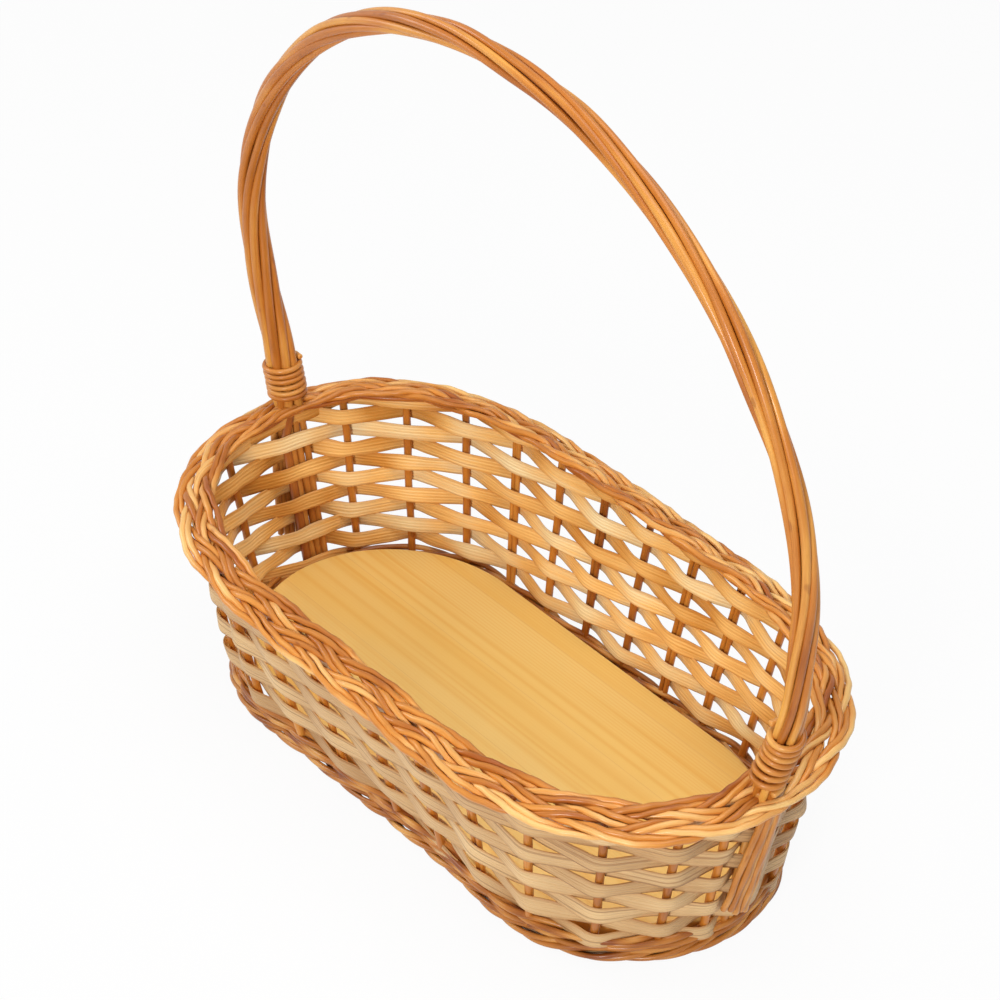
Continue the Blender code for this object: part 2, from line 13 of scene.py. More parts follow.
import bpy
import numpy as np
from mathutils import Matrix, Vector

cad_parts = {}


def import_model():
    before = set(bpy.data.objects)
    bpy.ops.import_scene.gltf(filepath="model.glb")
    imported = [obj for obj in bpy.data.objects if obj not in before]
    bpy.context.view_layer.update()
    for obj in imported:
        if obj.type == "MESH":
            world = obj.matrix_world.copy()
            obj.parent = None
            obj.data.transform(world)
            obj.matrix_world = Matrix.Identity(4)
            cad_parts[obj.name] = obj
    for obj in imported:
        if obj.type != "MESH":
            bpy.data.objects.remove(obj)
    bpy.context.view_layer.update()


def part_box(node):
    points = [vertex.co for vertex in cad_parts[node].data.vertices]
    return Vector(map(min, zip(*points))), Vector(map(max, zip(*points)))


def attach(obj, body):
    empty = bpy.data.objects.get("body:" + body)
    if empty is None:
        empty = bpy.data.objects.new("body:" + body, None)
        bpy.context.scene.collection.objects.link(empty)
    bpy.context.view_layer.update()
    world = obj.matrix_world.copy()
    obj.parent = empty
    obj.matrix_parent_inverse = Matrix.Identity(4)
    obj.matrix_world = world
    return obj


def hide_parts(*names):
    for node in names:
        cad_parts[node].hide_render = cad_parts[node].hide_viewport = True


LOG = logging.getLogger("foraging_basket")
TURN = 2 * math.pi
UP = np.array([0.0, 0.0, 1.0])
ACROSS = np.array([0.0, 1.0, 0.0])
Array = np.ndarray
Colour = tuple[float, float, float]


class Slot(Enum):
    """The record's material slots."""

    PINE = "pine"
    SPLINT = "splint"
    STAKE = "stake_willow"
    PEELED = "peeled_willow"
    BROWN = "brown_willow"


class Leg(Enum):
    """The handle's two legs, by their place round the wall as a share of the way round."""

    RIGHT = 0.0
    LEFT = 0.487

    @property
    def side(self) -> int:
        """+1 at the +X end and -1 at the -X end."""
        return 1 if self is Leg.RIGHT else -1


# Numbers and surfaces.


def unit(vectors: Array) -> Array:
    """Scales vectors to length one, along the last axis."""
    return vectors / np.maximum(np.linalg.norm(vectors, axis=-1, keepdims=True), 1e-12)


def eased(share: Array) -> Array:
    """Goes smoothly from 0 to 1 with its share, level at both ends."""
    return share**2 * (3 - 2 * share)


def between(place: Array, low: float, high: float, blend: float = 0.05) -> Array:
    """1 between two places round the wall, falling to 0 over a blend towards each of them."""
    return np.clip(np.minimum(place - low, high - place) / blend, 0, 1)


def level_directions(pairs: Array) -> Array:
    """Directions in space from level ones in the plane."""
    return np.concatenate([pairs, np.zeros((len(pairs), 1))], -1)


def ripple(place: Array, seed: int, slowest: int, fastest: int) -> Array:
    """Smooth noise that repeats once per unit of place.

    Formula: the sum of cosines with every whole number of waves from slowest to fastest, each
    with its own seeded phase, scaled so that its usual size is one.

    Args:
        place: where to read the noise, in shares of the way round or along.
        seed: which noise to read.
        slowest: the fewest waves per unit.
        fastest: the most waves per unit.

    Returns:
        The noise at each place.
    """
    waves = np.arange(slowest, fastest + 1)
    phase = np.random.default_rng(seed).uniform(0, TURN, len(waves))
    total = np.cos(TURN * np.asarray(place)[..., None] * waves + phase).sum(-1)
    return total / math.sqrt(len(waves) / 2)


def softened(values: Array, window: int, closed: bool = True) -> Array:
    """Averages each entry with its neighbours along the last axis.

    Args:
        values: rows of numbers.
        window: how many neighbours, an odd number.
        closed: whether the row's end meets its start.

    Returns:
        The averaged rows, of the same shape.
    """
    half = window // 2
    mode = "wrap" if closed else "edge"
    padded = np.pad(values, [(0, 0)] * (values.ndim - 1) + [(half, half)], mode=mode)
    total = np.cumsum(np.concatenate([np.zeros_like(padded[..., :1]), padded], -1), -1)
    return (total[..., window:] - total[..., :-window]) / window


@dataclass
class Surface:
    """Points and four-cornered faces, with what the finishes read at each corner or point."""

    points: Array
    faces: Array
    grain: Array
    tone: Array
    caps: list[list[int]] = field(default_factory=list)

    @staticmethod
    def joined(parts: list["Surface"]) -> "Surface":
        """One surface that holds all the parts, unchanged and apart from one another."""
        start = np.cumsum([0] + [len(part.points) for part in parts])
        caps = [[i + first for i in cap] for part, first in zip(parts, start) for cap in part.caps]
        return Surface(
            np.concatenate([part.points for part in parts]),
            np.concatenate([part.faces + first for part, first in zip(parts, start)]),
            np.concatenate([part.grain for part in parts]),
            np.concatenate([part.tone for part in parts]),
            caps,
        )


def grid_faces(rows: int, columns: int, closed: bool) -> Array:
    """Faces between neighbouring sections of a sweep, the sections themselves being closed.

    Args:
        rows: how many sections.
        columns: how many points in each.
        closed: whether the last section meets the first.

    Returns:
        Point numbers, four a face.
    """
    row = np.arange(rows if closed else rows - 1)[:, None]
    column = np.arange(columns)[None, :]
    below, above = row * columns, ((row + 1) % rows) * columns
    after = (column + 1) % columns
    return np.stack([below + column, below + after, above + after, above + column], -1).reshape(-1, 4)


def swept(
    path: Array,
    reference: Array,
    radius: Array,
    sides: int,
    tone: Array,
    seed: int,
    closed: bool = False,
    flat: float = 1.0,
) -> Surface:
    """A rod: an oval section carried along a path.

    Formula: point = path + radius * (cos a * across + flat * sin a * upward), with a going once
    round, across square to the path and the reference, and upward square to both.

    Args:
        path: the points of the centreline.
        reference: a direction, or one a point, that the path never runs along.
        radius: the section's radius at each point.
        sides: points in a section.
        tone: how light the rod is at each point, from 0 to 1.
        seed: sets this rod's grain apart from the others'.
        closed: whether the path ends where it starts.
        flat: the section's height as a share of its width.

    Returns:
        The rod's surface; an open rod has domed ends.
    """
    if not closed:
        path, reference, radius, tone = domed(path, reference, radius, tone)
    count = len(path)
    if closed:
        tangent = np.roll(path, -1, 0) - np.roll(path, 1, 0)
    else:
        tangent = np.gradient(path, axis=0)
    across = unit(np.cross(tangent, reference))
    upward = unit(np.cross(across, tangent))
    angle = TURN * np.arange(sides) / sides
    reach = np.asarray(radius)[:, None, None]
    ring = np.cos(angle)[None, :, None] * across[:, None] + flat * np.sin(angle)[None, :, None] * upward[:, None]
    points = (path[:, None] + reach * ring).reshape(-1, 3)
    steps = np.linalg.norm(np.diff(path, axis=0), axis=1)
    travelled = np.concatenate([[0.0], np.cumsum(steps)])
    wide = float(np.mean(radius))
    section = np.stack([wide * np.cos(angle), wide * np.sin(angle)], -1)
    faces = grid_faces(count, sides, closed)
    rows, columns = faces // sides, faces % sides
    along = travelled[rows]
    if closed:
        along = np.where(rows < rows[:, :1], travelled[-1] + np.linalg.norm(path[0] - path[-1]), along)
    grain = np.concatenate([section[columns], along[..., None] + 1.7 * seed], -1)
    caps = [] if closed else [list(range(sides))[::-1], list(range((count - 1) * sides, count * sides))]
    return Surface(points, faces, grain, np.repeat(np.asarray(tone, float), sides), caps)


def domed(path: Array, reference: Array, radius: Array, tone: Array) -> tuple[Array, Array, Array, Array]:
    """Adds the small sections that round off an open rod's two ends.

    Args:
        path: the centreline.
        reference: the sweep's reference direction or directions.
        radius: the radius at each point.
        tone: the tone at each point.

    Returns:
        The same four, with three more points at each end.
    """
    radius = np.broadcast_to(radius, len(path)).astype(float)
    tone = np.broadcast_to(tone, len(path)).astype(float)
    reference = np.broadcast_to(reference, path.shape)
    first, last = unit(path[0] - path[1]), unit(path[-1] - path[-2])
    turn = np.array([0.45, 0.85, 1.15])
    out, shrink = np.sin(turn) * 0.55, np.cos(turn)
    head = path[0] + first * (out * radius[0])[::-1, None]
    tail = path[-1] + last * (out * radius[-1])[:, None]
    ends = np.ones(3)
    return (
        np.concatenate([head, path, tail]),
        np.concatenate([reference[:1].repeat(3, 0), reference, reference[-1:].repeat(3, 0)]),
        np.concatenate([radius[0] * shrink[::-1], radius, radius[-1] * shrink]),
        np.concatenate([tone[0] * ends, tone, tone[-1] * ends]),
    )


def linked(name: str, data: bpy.types.ID) -> bpy.types.Object:
    """A new object with its data, linked to the scene."""
    made = bpy.data.objects.new(name, data)
    bpy.context.scene.collection.objects.link(made)
    return made


def new_piece(
    name: str, surface: Surface, slot: Slot, finish: bpy.types.Material, *nodes: str
) -> bpy.types.Object:
    """Puts a surface into a mesh object that stands for CAD nodes.

    Args:
        name: the piece's name.
        surface: its points and faces.
        slot: the record's slot that it belongs to; not used.
        finish: its material.
        nodes: the CAD nodes that it replaces, if any.

    Returns:
        The new object, riding on the basket's one body.
    """
    mesh = bpy.data.meshes.new(name)
    mesh.from_pydata(surface.points.tolist(), [], surface.faces.tolist() + surface.caps)
    corner = mesh.attributes.new("grain", "FLOAT_VECTOR", "CORNER")
    values = np.concatenate([surface.grain.reshape(-1, 3)] + [cap_grain(surface, cap) for cap in surface.caps])
    corner.data.foreach_set("vector", values.astype(np.float32).ravel())
    tone = mesh.attributes.new("tone", "FLOAT", "POINT")
    tone.data.foreach_set("value", surface.tone.astype(np.float32))
    mesh.polygons.foreach_set("use_smooth", np.ones(len(mesh.polygons), bool))
    mesh.update()
    piece = linked(name, mesh)
    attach(piece, "root")
    if nodes:
        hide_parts(*nodes)
    mesh.materials.append(finish)
    LOG.info("%s: %d faces", name, len(mesh.polygons))
    return piece


def placed(name: str, data: bpy.types.ID, columns: Array) -> bpy.types.Object:
    """A linked camera or lamp, with its three directions and its place as columns."""
    holder = linked(name, data)
    matrix = Matrix.Identity(4)
    for row in range(3):
        matrix[row] = columns[row]
    holder.matrix_world = matrix
    return holder


def cap_grain(surface: Surface, cap: list[int]) -> Array:
    """The grain at a cap's corners: its points' own places, so that an end shows end grain."""
    return surface.points[cap] * (1.0, 1.0, 0.2)


# Shader maths.


class Wire:
    """A number in a node tree; Python's operators on it add Math nodes."""

    def __init__(self, graph: "Graph", socket: bpy.types.NodeSocket) -> None:
        """Wraps one output socket of a graph."""
        self.graph = graph
        self.socket = socket

    def math(self, operation: str, *others: "Wire | float") -> "Wire":
        """Adds one Math node with this wire as its first value."""
        values = {0: self, **{index + 1: other for index, other in enumerate(others)}}
        return self.graph.node("ShaderNodeMath", {"operation": operation}, values)

    def swapped(self, operation: str, other: "Wire | float") -> "Wire":
        """Adds one Math node with this wire as its second value."""
        return self.graph.node("ShaderNodeMath", {"operation": operation}, {0: other, 1: self})

    def __add__(self, other: "Wire | float") -> "Wire":
        """self + other."""
        return self.math("ADD", other)

    __radd__ = __add__

    def __sub__(self, other: "Wire | float") -> "Wire":
        """self - other."""
        return self.math("SUBTRACT", other)

    def __rsub__(self, other: float) -> "Wire":
        """other - self."""
        return self.swapped("SUBTRACT", other)

    def __mul__(self, other: "Wire | float") -> "Wire":
        """self * other."""
        return self.math("MULTIPLY", other)

    __rmul__ = __mul__

    def __truediv__(self, other: "Wire | float") -> "Wire":
        """self / other."""
        return self.math("DIVIDE", other)

    def __rtruediv__(self, other: float) -> "Wire":
        """other / self."""
        return self.swapped("DIVIDE", other)

    def __pow__(self, power: float) -> "Wire":
        """self to a power."""
        return self.math("POWER", power)

    def ramp(self, low: float, high: float) -> "Wire":
        """Goes smoothly from 0 at low to 1 at high."""
        settings = {"interpolation_type": "SMOOTHSTEP", "clamp": True}
        return self.graph.node("ShaderNodeMapRange", settings, {0: self, 1: low, 2: high, 3: 0.0, 4: 1.0})


class Graph:
    """The node tree of a material or of the world, with a single way to add a node."""

    def __init__(self, holder: bpy.types.Material | bpy.types.World) -> None:
        """Takes over a new material or world, whose output already shows one shader."""
        holder.use_nodes = True
        self.holder = holder
        self.tree = holder.node_tree
        self.end = next(node for node in self.tree.nodes if "Surface" in node.inputs)
        self.shader = self.end.inputs["Surface"].links[0].from_node

    def put(self, node: bpy.types.Node, inputs: dict) -> None:
        """Sets or links a node's inputs, by number or name."""
        for key, value in inputs.items():
            socket = node.inputs[key]
            if isinstance(value, Wire):
                self.tree.links.new(value.socket, socket)
            elif isinstance(value, tuple) and len(value) == 3 and socket.type == "RGBA":
                socket.default_value = (*value, 1.0)
            else:
                socket.default_value = value

    def node(self, kind: str, settings: dict, inputs: dict, output: int | str = 0) -> Wire:
        """Adds a node.

        Args:
            kind: the node's type.
            settings: its own properties; "stops" are a colour ramp's places and colours.
            inputs: values or wires for its sockets.
            output: which of its outputs to return.

        Returns:
            The wire out of it.
        """
        made = self.tree.nodes.new(kind)
        for key, value in settings.items():
            if key == "stops":
                elements = made.color_ramp.elements
                while len(elements) < len(value):
                    elements.new(1.0)
                for element, (place, colour) in zip(elements, value):
                    element.position = place
                    element.color = (*colour, 1.0)
            else:
                setattr(made, key, value)
        self.put(made, inputs)
        return Wire(self, made.outputs[output])

    def attribute(self, name: str, output: str) -> Wire:
        """Reads a mesh attribute."""
        return self.node("ShaderNodeAttribute", {"attribute_name": name}, {}, output)

    def split(self, vector: Wire) -> tuple[Wire, Wire, Wire]:
        """The three numbers of a vector."""
        made = self.node("ShaderNodeSeparateXYZ", {}, {0: vector})
        return tuple(Wire(self, socket) for socket in made.socket.node.outputs)

    def vector(self, x: Wire | float, y: Wire | float, z: Wire | float) -> Wire:
        """A vector of three numbers."""
        return self.node("ShaderNodeCombineXYZ", {}, {0: x, 1: y, 2: z})

    def noise(self, place: tuple[Wire | float, ...], detail: float, roughness: float) -> Wire:
        """Soft noise from 0 to 1 round 0.5."""
        inputs = {"Vector": self.vector(*place), "Scale": 1.0, "Detail": detail, "Roughness": roughness}
        return self.node("ShaderNodeTexNoise", {}, inputs)

    def colours(self, place: Wire, stops: list[tuple[float, Colour]]) -> Wire:
        """Reads a colour off a ramp."""
        return self.node("ShaderNodeValToRGB", {"stops": stops}, {0: place})

    def mix(self, share: Wire | float, first: Wire | Colour, second: Wire | Colour) -> Wire:
        """Mixes two colours."""
        return self.node("ShaderNodeMix", {"data_type": "RGBA"}, {0: share, 6: first, 7: second}, 2)

    def shade(self, share: Wire | float, colour: Wire, by: Colour) -> Wire:
        """Multiplies a colour by another, by a share."""
        settings = {"data_type": "RGBA", "blend_type": "MULTIPLY"}
        return self.node("ShaderNodeMix", settings, {0: share, 6: colour, 7: by}, 2)

    def bump(self, height: Wire, strength: float, distance: float) -> Wire:
        """A normal from a height in shares of the distance."""
        return self.node("ShaderNodeBump", {}, {"Height": height, "Strength": strength, "Distance": distance})

    def show_white(self, white: Wire, share: float = 1.0) -> None:
        """Shows white to the camera, to reflections and through glass; the first shader lights.

        Args:
            white: the white shader.
            share: how much of it is shown.
        """
        camera, glossy, through = (
            self.node("ShaderNodeLightPath", {}, {}, f"Is {ray} Ray")
            for ray in ("Camera", "Glossy", "Transmission")
        )
        seen = camera.math("MAXIMUM", glossy).math("MAXIMUM", through) * share
        usual = Wire(self, self.shader.outputs[0])
        mixed = self.node("ShaderNodeMixShader", {}, {0: seen, 1: usual, 2: white})
        self.put(self.end, {"Surface": mixed})

    def finish(self, **inputs: Wire | float | Colour) -> bpy.types.Material | bpy.types.World:
        """Sets the first shader's sockets; a name's underscores stand for spaces.

        Returns:
            The material, or the world.
        """
        self.put(self.shader, {key.replace("_", " "): value for key, value in inputs.items()})
        return self.holder


@dataclass(frozen=True)
class WillowFinish:
    """A willow rod: tone by rod, streaks along it, darker buds and a satin coat."""

    dark: Colour
    middle: Colour
    light: Colour
    roughness: float = 0.42
    coat: float = 0.30
    streaks: float = 0.28
    blotches: float = 0.30

    def material(self, name: str) -> bpy.types.Material:
        """Builds the finish's nodes and returns the material."""
        graph = Graph(bpy.data.materials.new(name))
        x, y, z = graph.split(graph.attribute("grain", "Vector"))
        tone = graph.attribute("tone", "Fac")
        streak = graph.noise((x * 700.0, y * 700.0, z * 22.0), 3.0, 0.55)
        blotch = graph.noise((x * 90.0, y * 90.0, z * 30.0), 2.0, 0.5)
        fine = graph.noise((x * 2600.0, y * 2600.0, z * 160.0), 2.0, 0.6)
        bud = graph.noise((x * 160.0, y * 160.0, z * 75.0), 1.0, 0.4).ramp(0.70, 0.80)
        place = tone + (streak - 0.5) * self.streaks * 2.0 + (blotch - 0.5) * self.blotches * 2.0
        colour = graph.colours(place, [(0.0, self.dark), (0.5, self.middle), (1.0, self.light)])
        colour = graph.shade(bud * 0.55, colour, (0.45, 0.26, 0.16))
        colour = graph.shade(fine.ramp(0.55, 0.85) * 0.35, colour, (0.72, 0.55, 0.42))
        height = streak * 0.6 + fine * 0.25 + bud * 0.15
        rough = streak * 0.18 + (self.roughness - 0.09)
        return graph.finish(
            Base_Color=colour,
            Roughness=rough,
            Specular_IOR_Level=0.28,
            Coat_Weight=self.coat,
            Coat_Roughness=0.20,
            Normal=graph.bump(height, 0.35, 0.0004),
        )


@dataclass(frozen=True)
class SplintFinish:
    """Split wood: gold inside the basket and pale outside, with ridges, grain and painted edge shade."""

    pale: Colour = (0.80, 0.555, 0.28)
    beige: Colour = (0.50, 0.285, 0.12)
    brown: Colour = (0.25, 0.10, 0.03)
    straw: Colour = (1.0, 0.86, 0.52)
    gold: Colour = (0.97, 0.60, 0.205)
    amber: Colour = (0.66, 0.30, 0.055)
    roughness: float = 0.50
    spacing: float = 0.31

    def material(self, name: str) -> bpy.types.Material:
        """Builds the finish's nodes and returns the material."""
        graph = Graph(bpy.data.materials.new(name))
        across, face, along = graph.split(graph.attribute("grain", "Vector"))
        tone = graph.attribute("tone", "Fac")
        slow = graph.noise((across * 40.0, face, along * 9.0), 2.0, 0.5)
        drift = across + (slow - 0.5) * 0.0010
        lines = graph.noise((drift * 520.0, face * 3.0, along * 3.0), 2.0, 0.5)
        grain = graph.noise((drift * 1100.0, face * 4.0, along * 9.0), 2.0, 0.6)
        fibre = graph.noise((across * 2400.0, face * 5.0, along * 60.0), 2.0, 0.6)
        ridge = (drift * (TURN / 0.0022)).math("SINE")
        place = tone + (slow - 0.5) * 0.8 + (lines - 0.5) * 0.7
        outer = graph.colours(place, [(0.0, self.beige), (1.0, self.pale)])
        inner = graph.colours(place, [(0.0, self.amber), (0.45, self.gold), (1.0, self.straw)])
        outer = graph.mix(lines.ramp(0.53, 0.63) * 0.55, outer, self.brown)
        inner = graph.mix(lines.ramp(0.55, 0.68) * 0.40, inner, self.amber)
        colour = graph.mix(face.ramp(-0.5, 0.5), inner, outer)
        # Painted shade: each band's colour is darkened towards its two long edges.
        beside = (across - (across / self.spacing).math("ROUND") * self.spacing).math("ABSOLUTE")
        colour = graph.shade(beside.ramp(0.0032, 0.0056) * 0.55, colour, (0.62, 0.40, 0.22))
        colour = graph.shade(grain.ramp(0.52, 0.72) * 0.35, colour, (0.74, 0.55, 0.36))
        colour = graph.shade(ridge.ramp(0.4, 1.0) * 0.20, colour, (0.72, 0.52, 0.34))
        colour = graph.shade(fibre.ramp(0.5, 0.9) * 0.25, colour, (0.8, 0.66, 0.5))
        height = ridge * -0.5 + lines * -0.5 + grain * 0.5 + fibre * 0.3
        rough = fibre * 0.2 + (self.roughness - 0.1)
        normal = graph.bump(height, 0.55, 0.0004)
        return graph.finish(Base_Color=colour, Roughness=rough, Specular_IOR_Level=0.3, Normal=normal)


@dataclass(frozen=True)
class PineFinish:
    """A glued pine board: planks along X, each with growth rings of its own."""

    pale: Colour = (0.95, 0.70, 0.26)
    gold: Colour = (0.93, 0.61, 0.165)
    late: Colour = (0.86, 0.46, 0.075)
    seam: Colour = (0.70, 0.36, 0.10)
    plank: float = 0.043
    ring: float = 0.0021

    def material(self, name: str) -> bpy.types.Material:
        """Builds the finish's nodes and returns the material."""
        graph = Graph(bpy.data.materials.new(name))
        x, y, z = graph.split(graph.node("ShaderNodeTexCoord", {}, {}, "Object"))
        strip = (y / self.plank + 0.37).math("FLOOR")
        inside = (y / self.plank + 0.37).math("FRACT")
        edge = (inside - 0.5).math("ABSOLUTE").ramp(0.490, 0.499)
        lean = graph.noise((x * 1.6, y * 6.0, strip * 7.3), 1.0, 0.4)
        warped = y + (lean - 0.5) * 0.016 + z * 0.6
        wide = graph.noise((strip * 3.7, warped * 60.0, 0.0), 1.0, 0.4)
        ring = (warped * (TURN / self.ring) + wide * 7.0).math("SINE") * 0.5 + 0.5
        close = graph.noise((strip * 5.3, warped * 28.0, 3.1), 0.0, 0.5).ramp(0.52, 0.62)
        broad = (warped * (TURN / 0.0125) + wide * 9.0).math("SINE") * 0.5 + 0.5
        fine = graph.noise((x * 14.0, y * 1500.0, z * 900.0), 2.0, 0.6)
        slow = graph.noise((x * 3.0, y * 26.0, strip * 2.9), 2.0, 0.5)
        streak = graph.noise((x * 2.5 + strip * 3.0, warped * 210.0, 1.7), 1.0, 0.5).ramp(0.60, 0.74)
        tint = graph.noise((strip * 4.7, 0.3, 0.0), 0.0, 0.5)
        colour = graph.mix(slow.ramp(0.3, 0.7) * 0.5 + (tint - 0.5) * 0.8, self.gold, self.pale)
        colour = graph.mix((ring**2.0) * close * 0.34, colour, self.late)
        colour = graph.mix((broad**3.0) * (1.0 - close) * 0.50, colour, self.late)
        colour = graph.mix(streak * 0.50, colour, self.late)
        colour = graph.shade(fine.ramp(0.5, 0.9) * 0.14, colour, (0.82, 0.66, 0.46))
        colour = graph.mix(edge * 0.30, colour, self.seam)
        height = (ring**2.0) * close * 0.4 + fine * 0.35 - edge
        return graph.finish(
            Base_Color=colour,
            Roughness=fine * 0.15 + 0.36,
            Coat_Weight=0.15,
            Coat_Roughness=0.3,
            Normal=graph.bump(height, 0.25, 0.0003),
        )


@dataclass(frozen=True)
class FloorFinish:
    """Plain white paper that still takes the basket's shadow, softened for the camera."""

    colour: Colour = (0.80, 0.80, 0.80)
    whitened: float = 0.93

    def material(self, name: str) -> bpy.types.Material:
        """Builds the finish's nodes and returns the material."""
        graph = Graph(bpy.data.materials.new(name))
        graph.show_white(graph.node("ShaderNodeEmission", {}, {}), self.whitened)
        return graph.finish(Base_Color=self.colour, Roughness=0.9)


# The basket's form.


@dataclass(frozen=True)
class WallForm:
    """The wall's centreline at any height: straight sides and rounded ends, wider upward."""

    low: float = 0.0210
    high: float = 0.1243
    low_length: float = 0.2015
    high_length: float = 0.2220
    low_width: float = 0.0935
    high_width: float = 0.1139
    low_straight: float = 0.475
    high_straight: float = 0.29
    low_square: float = 2.0
    high_square: float = 2.3
    corners: tuple[tuple[float, float, float], ...] = (
        (0.60, 0.05, 0.0050),
        (0.79, 0.06, -0.0042),
        (0.92, 0.035, 0.0018),
    )
    floor: float = 0.0
    ceiling: float = 0.150
    levels: int = 46
    steps: int = 1440
    quarter: int = 160

    @cached_property
    def table(self) -> tuple[Array, Array, Array]:
        """Centrelines, outward directions and lengths round, at evenly spaced heights.

        Formula: in a quarter, with t from 0 to a right angle, x = straight + (half length -
        straight) * cos(t) ** p and y = half width * sin(t) ** p, where p is two over the
        squareness; each size goes evenly from its low to its high value with height. The ring is
        then read again at even steps of its length.
        """
        heights = np.linspace(self.floor, self.ceiling, self.levels)
        level = ((heights - self.low) / (self.high - self.low))[:, None]
        length = self.low_length + (self.high_length - self.low_length) * level
        width = self.low_width + (self.high_width - self.low_width) * level
        straight = length * (self.low_straight + (self.high_straight - self.low_straight) * level)
        power = 2 / (self.low_square + (self.high_square - self.low_square) * level)
        turn = np.linspace(0, math.pi / 2, self.quarter + 1)[None, :]
        along = straight + (length - straight) * np.clip(np.cos(turn), 0, 1) ** power
        across = width * np.sin(turn) ** power
        quarter = np.stack([along, across], -1)
        half = np.concatenate([quarter, (quarter * (-1, 1))[:, ::-1]], 1)
        ring = np.concatenate([half, (half * (1, -1))[:, ::-1][:, 1:]], 1)
        gone = np.cumsum(np.linalg.norm(np.diff(ring, axis=1), axis=2), 1)
        gone = np.concatenate([np.zeros((self.levels, 1)), gone], 1)
        even = np.arange(self.steps) / self.steps
        centre = np.stack(
            [
                np.stack([np.interp(even * far[-1], far, line[:, axis]) for axis in (0, 1)], -1)
                for far, line in zip(gone, ring)
            ]
        )
        tangent = np.roll(centre, -1, 1) - np.roll(centre, 1, 1)
        return centre, unit(np.stack([tangent[..., 1], -tangent[..., 0]], -1)), gone[:, -1]

    def read(self, share: Array, height: Array) -> tuple[Array, Array]:
        """Centreline points and outward directions, read between the table's entries.

        Args:
            share: shares of the way round.
            height: heights, of the same shape.

        Returns:
            Two arrays of pairs.
        """
        centre, normal, _ = self.table
        place = np.mod(share, 1.0) * self.steps
        left = np.floor(place).astype(int) % self.steps
        right = (left + 1) % self.steps
        across = (place - np.floor(place))[..., None]
        level = (np.asarray(height) - self.floor) / (self.ceiling - self.floor) * (self.levels - 1)
        level = np.clip(level, 0, self.levels - 1.001)
        below = np.floor(level).astype(int)
        upward = (level - below)[..., None]
        found = [
            (grid[below, left] * (1 - across) + grid[below, right] * across) * (1 - upward)
            + (grid[below + 1, left] * (1 - across) + grid[below + 1, right] * across) * upward
            for grid in (centre, normal)
        ]
        return found[0], unit(found[1])

    def points(self, share: Array, height: Array, out: Array | float = 0.0, lift: Array | float = 0.0) -> Array:
        """Points on the wall, moved outward and up.

        Args:
            share: shares of the way round.
            height: heights of the centreline that they start from.
            out: how far outward each is moved.
            lift: how far up each is moved.

        Returns:
            Points, one for each share.
        """
        share, height = np.broadcast_arrays(np.asarray(share, float), np.asarray(height, float))
        centre, normal = self.read(share, height)
        flat = centre + normal * np.broadcast_to(out, share.shape)[..., None]
        return np.concatenate([flat, (height + lift)[..., None]], -1)

    def corner(self, share: Array) -> Array:
        """How far the wall's foot stands out on the near side: a smooth hump or hollow a corner."""
        away = np.mod(np.asarray(share, float), 1.0)
        return sum(high * np.exp(-(((away - place) / wide) ** 2)) for place, wide, high in self.corners)

    def girth(self, height: float) -> float:
        """The length round the centreline at one height."""
        _, _, around = self.table
        return float(np.interp(height, np.linspace(self.floor, self.ceiling, self.levels), around))


@dataclass(frozen=True)
class StakePlan:
    """Where the stakes stand round the wall; the first and the middle one are the legs."""

    count: int = 28
    far_end: float = 0.49
    spread: float = 0.26
    shift: float = 0.04
    nudged: tuple[int, ...] = (14, 17, 21, 24, 26, 28)
    nudges: tuple[float, ...] = (0.0, 0.022, 0.024, 0.008, 0.010, 0.0)
    lean: float = 0.0045
    lean_place: float = 0.435
    lean_reach: float = 0.035

    def shares(self) -> Array:
        """Shares of the way round, evenly spaced on the far side and closer at the near ends."""
        half = self.count // 2
        step = np.arange(half) / half
        start = TURN * self.shift
        wave = np.sin(TURN * step + start) - math.sin(start)
        near = step - self.spread / TURN * wave
        shares = np.concatenate([step * self.far_end, [Leg.LEFT.value], (1 - near[1:] / 2)[::-1]])
        return shares + np.interp(np.arange(self.count), self.nudged, self.nudges)

    def feet(self) -> Array:
        """Shares of the way round of the stakes' lower ends: a little nearer the left leg beside it."""
        shares = self.shares()
        return shares + self.lean * np.exp(-(((shares - self.lean_place) / self.lean_reach) ** 2))

    def legs(self) -> tuple[int, int]:
        """The numbers of the two legs."""
        return 0, self.count // 2


@dataclass
class Board:
    """The pine board on the foot."""

    wall: WallForm
    inset: float = 0.00518
    bevel: float = 0.0011
    steps: int = 360

    def build(self) -> None:
        """Shapes the board: its outline carried up an eased edge.

        Formula: the wall's outline at the board's foot, moved inward; the section goes up from
        the lower bevel to the upper one as two quarter circles and a straight side.
        """
        low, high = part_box("base_board")
        share = np.arange(self.steps) / self.steps
        turn = np.linspace(0, math.pi / 2, 5)
        inward = np.concatenate([1 - np.sin(turn), 1 - np.cos(turn)]) * self.bevel
        height = np.concatenate([low.z + (1 - np.cos(turn)) * self.bevel, high.z - (1 - np.sin(turn)) * self.bevel])
        rows = [self.wall.points(share, low.z, -self.inset - step) for step in inward]
        points = np.stack(rows)
        points[..., 2] = height[:, None]
        count = len(inward)
        faces = grid_faces(count, self.steps, False)
        caps = [list(range(self.steps))[::-1], list(range((count - 1) * self.steps, count * self.steps))]
        flat = points.reshape(-1, 3)
        surface = Surface(flat, faces, flat[faces], np.full(len(flat), 0.5), caps)
        piece = new_piece("pine_board", surface, Slot.PINE, PineFinish().material("pine"), "base_board")
        smooth = np.arange(len(piece.data.polygons)) < len(faces)
        piece.data.polygons.foreach_set("use_smooth", smooth)


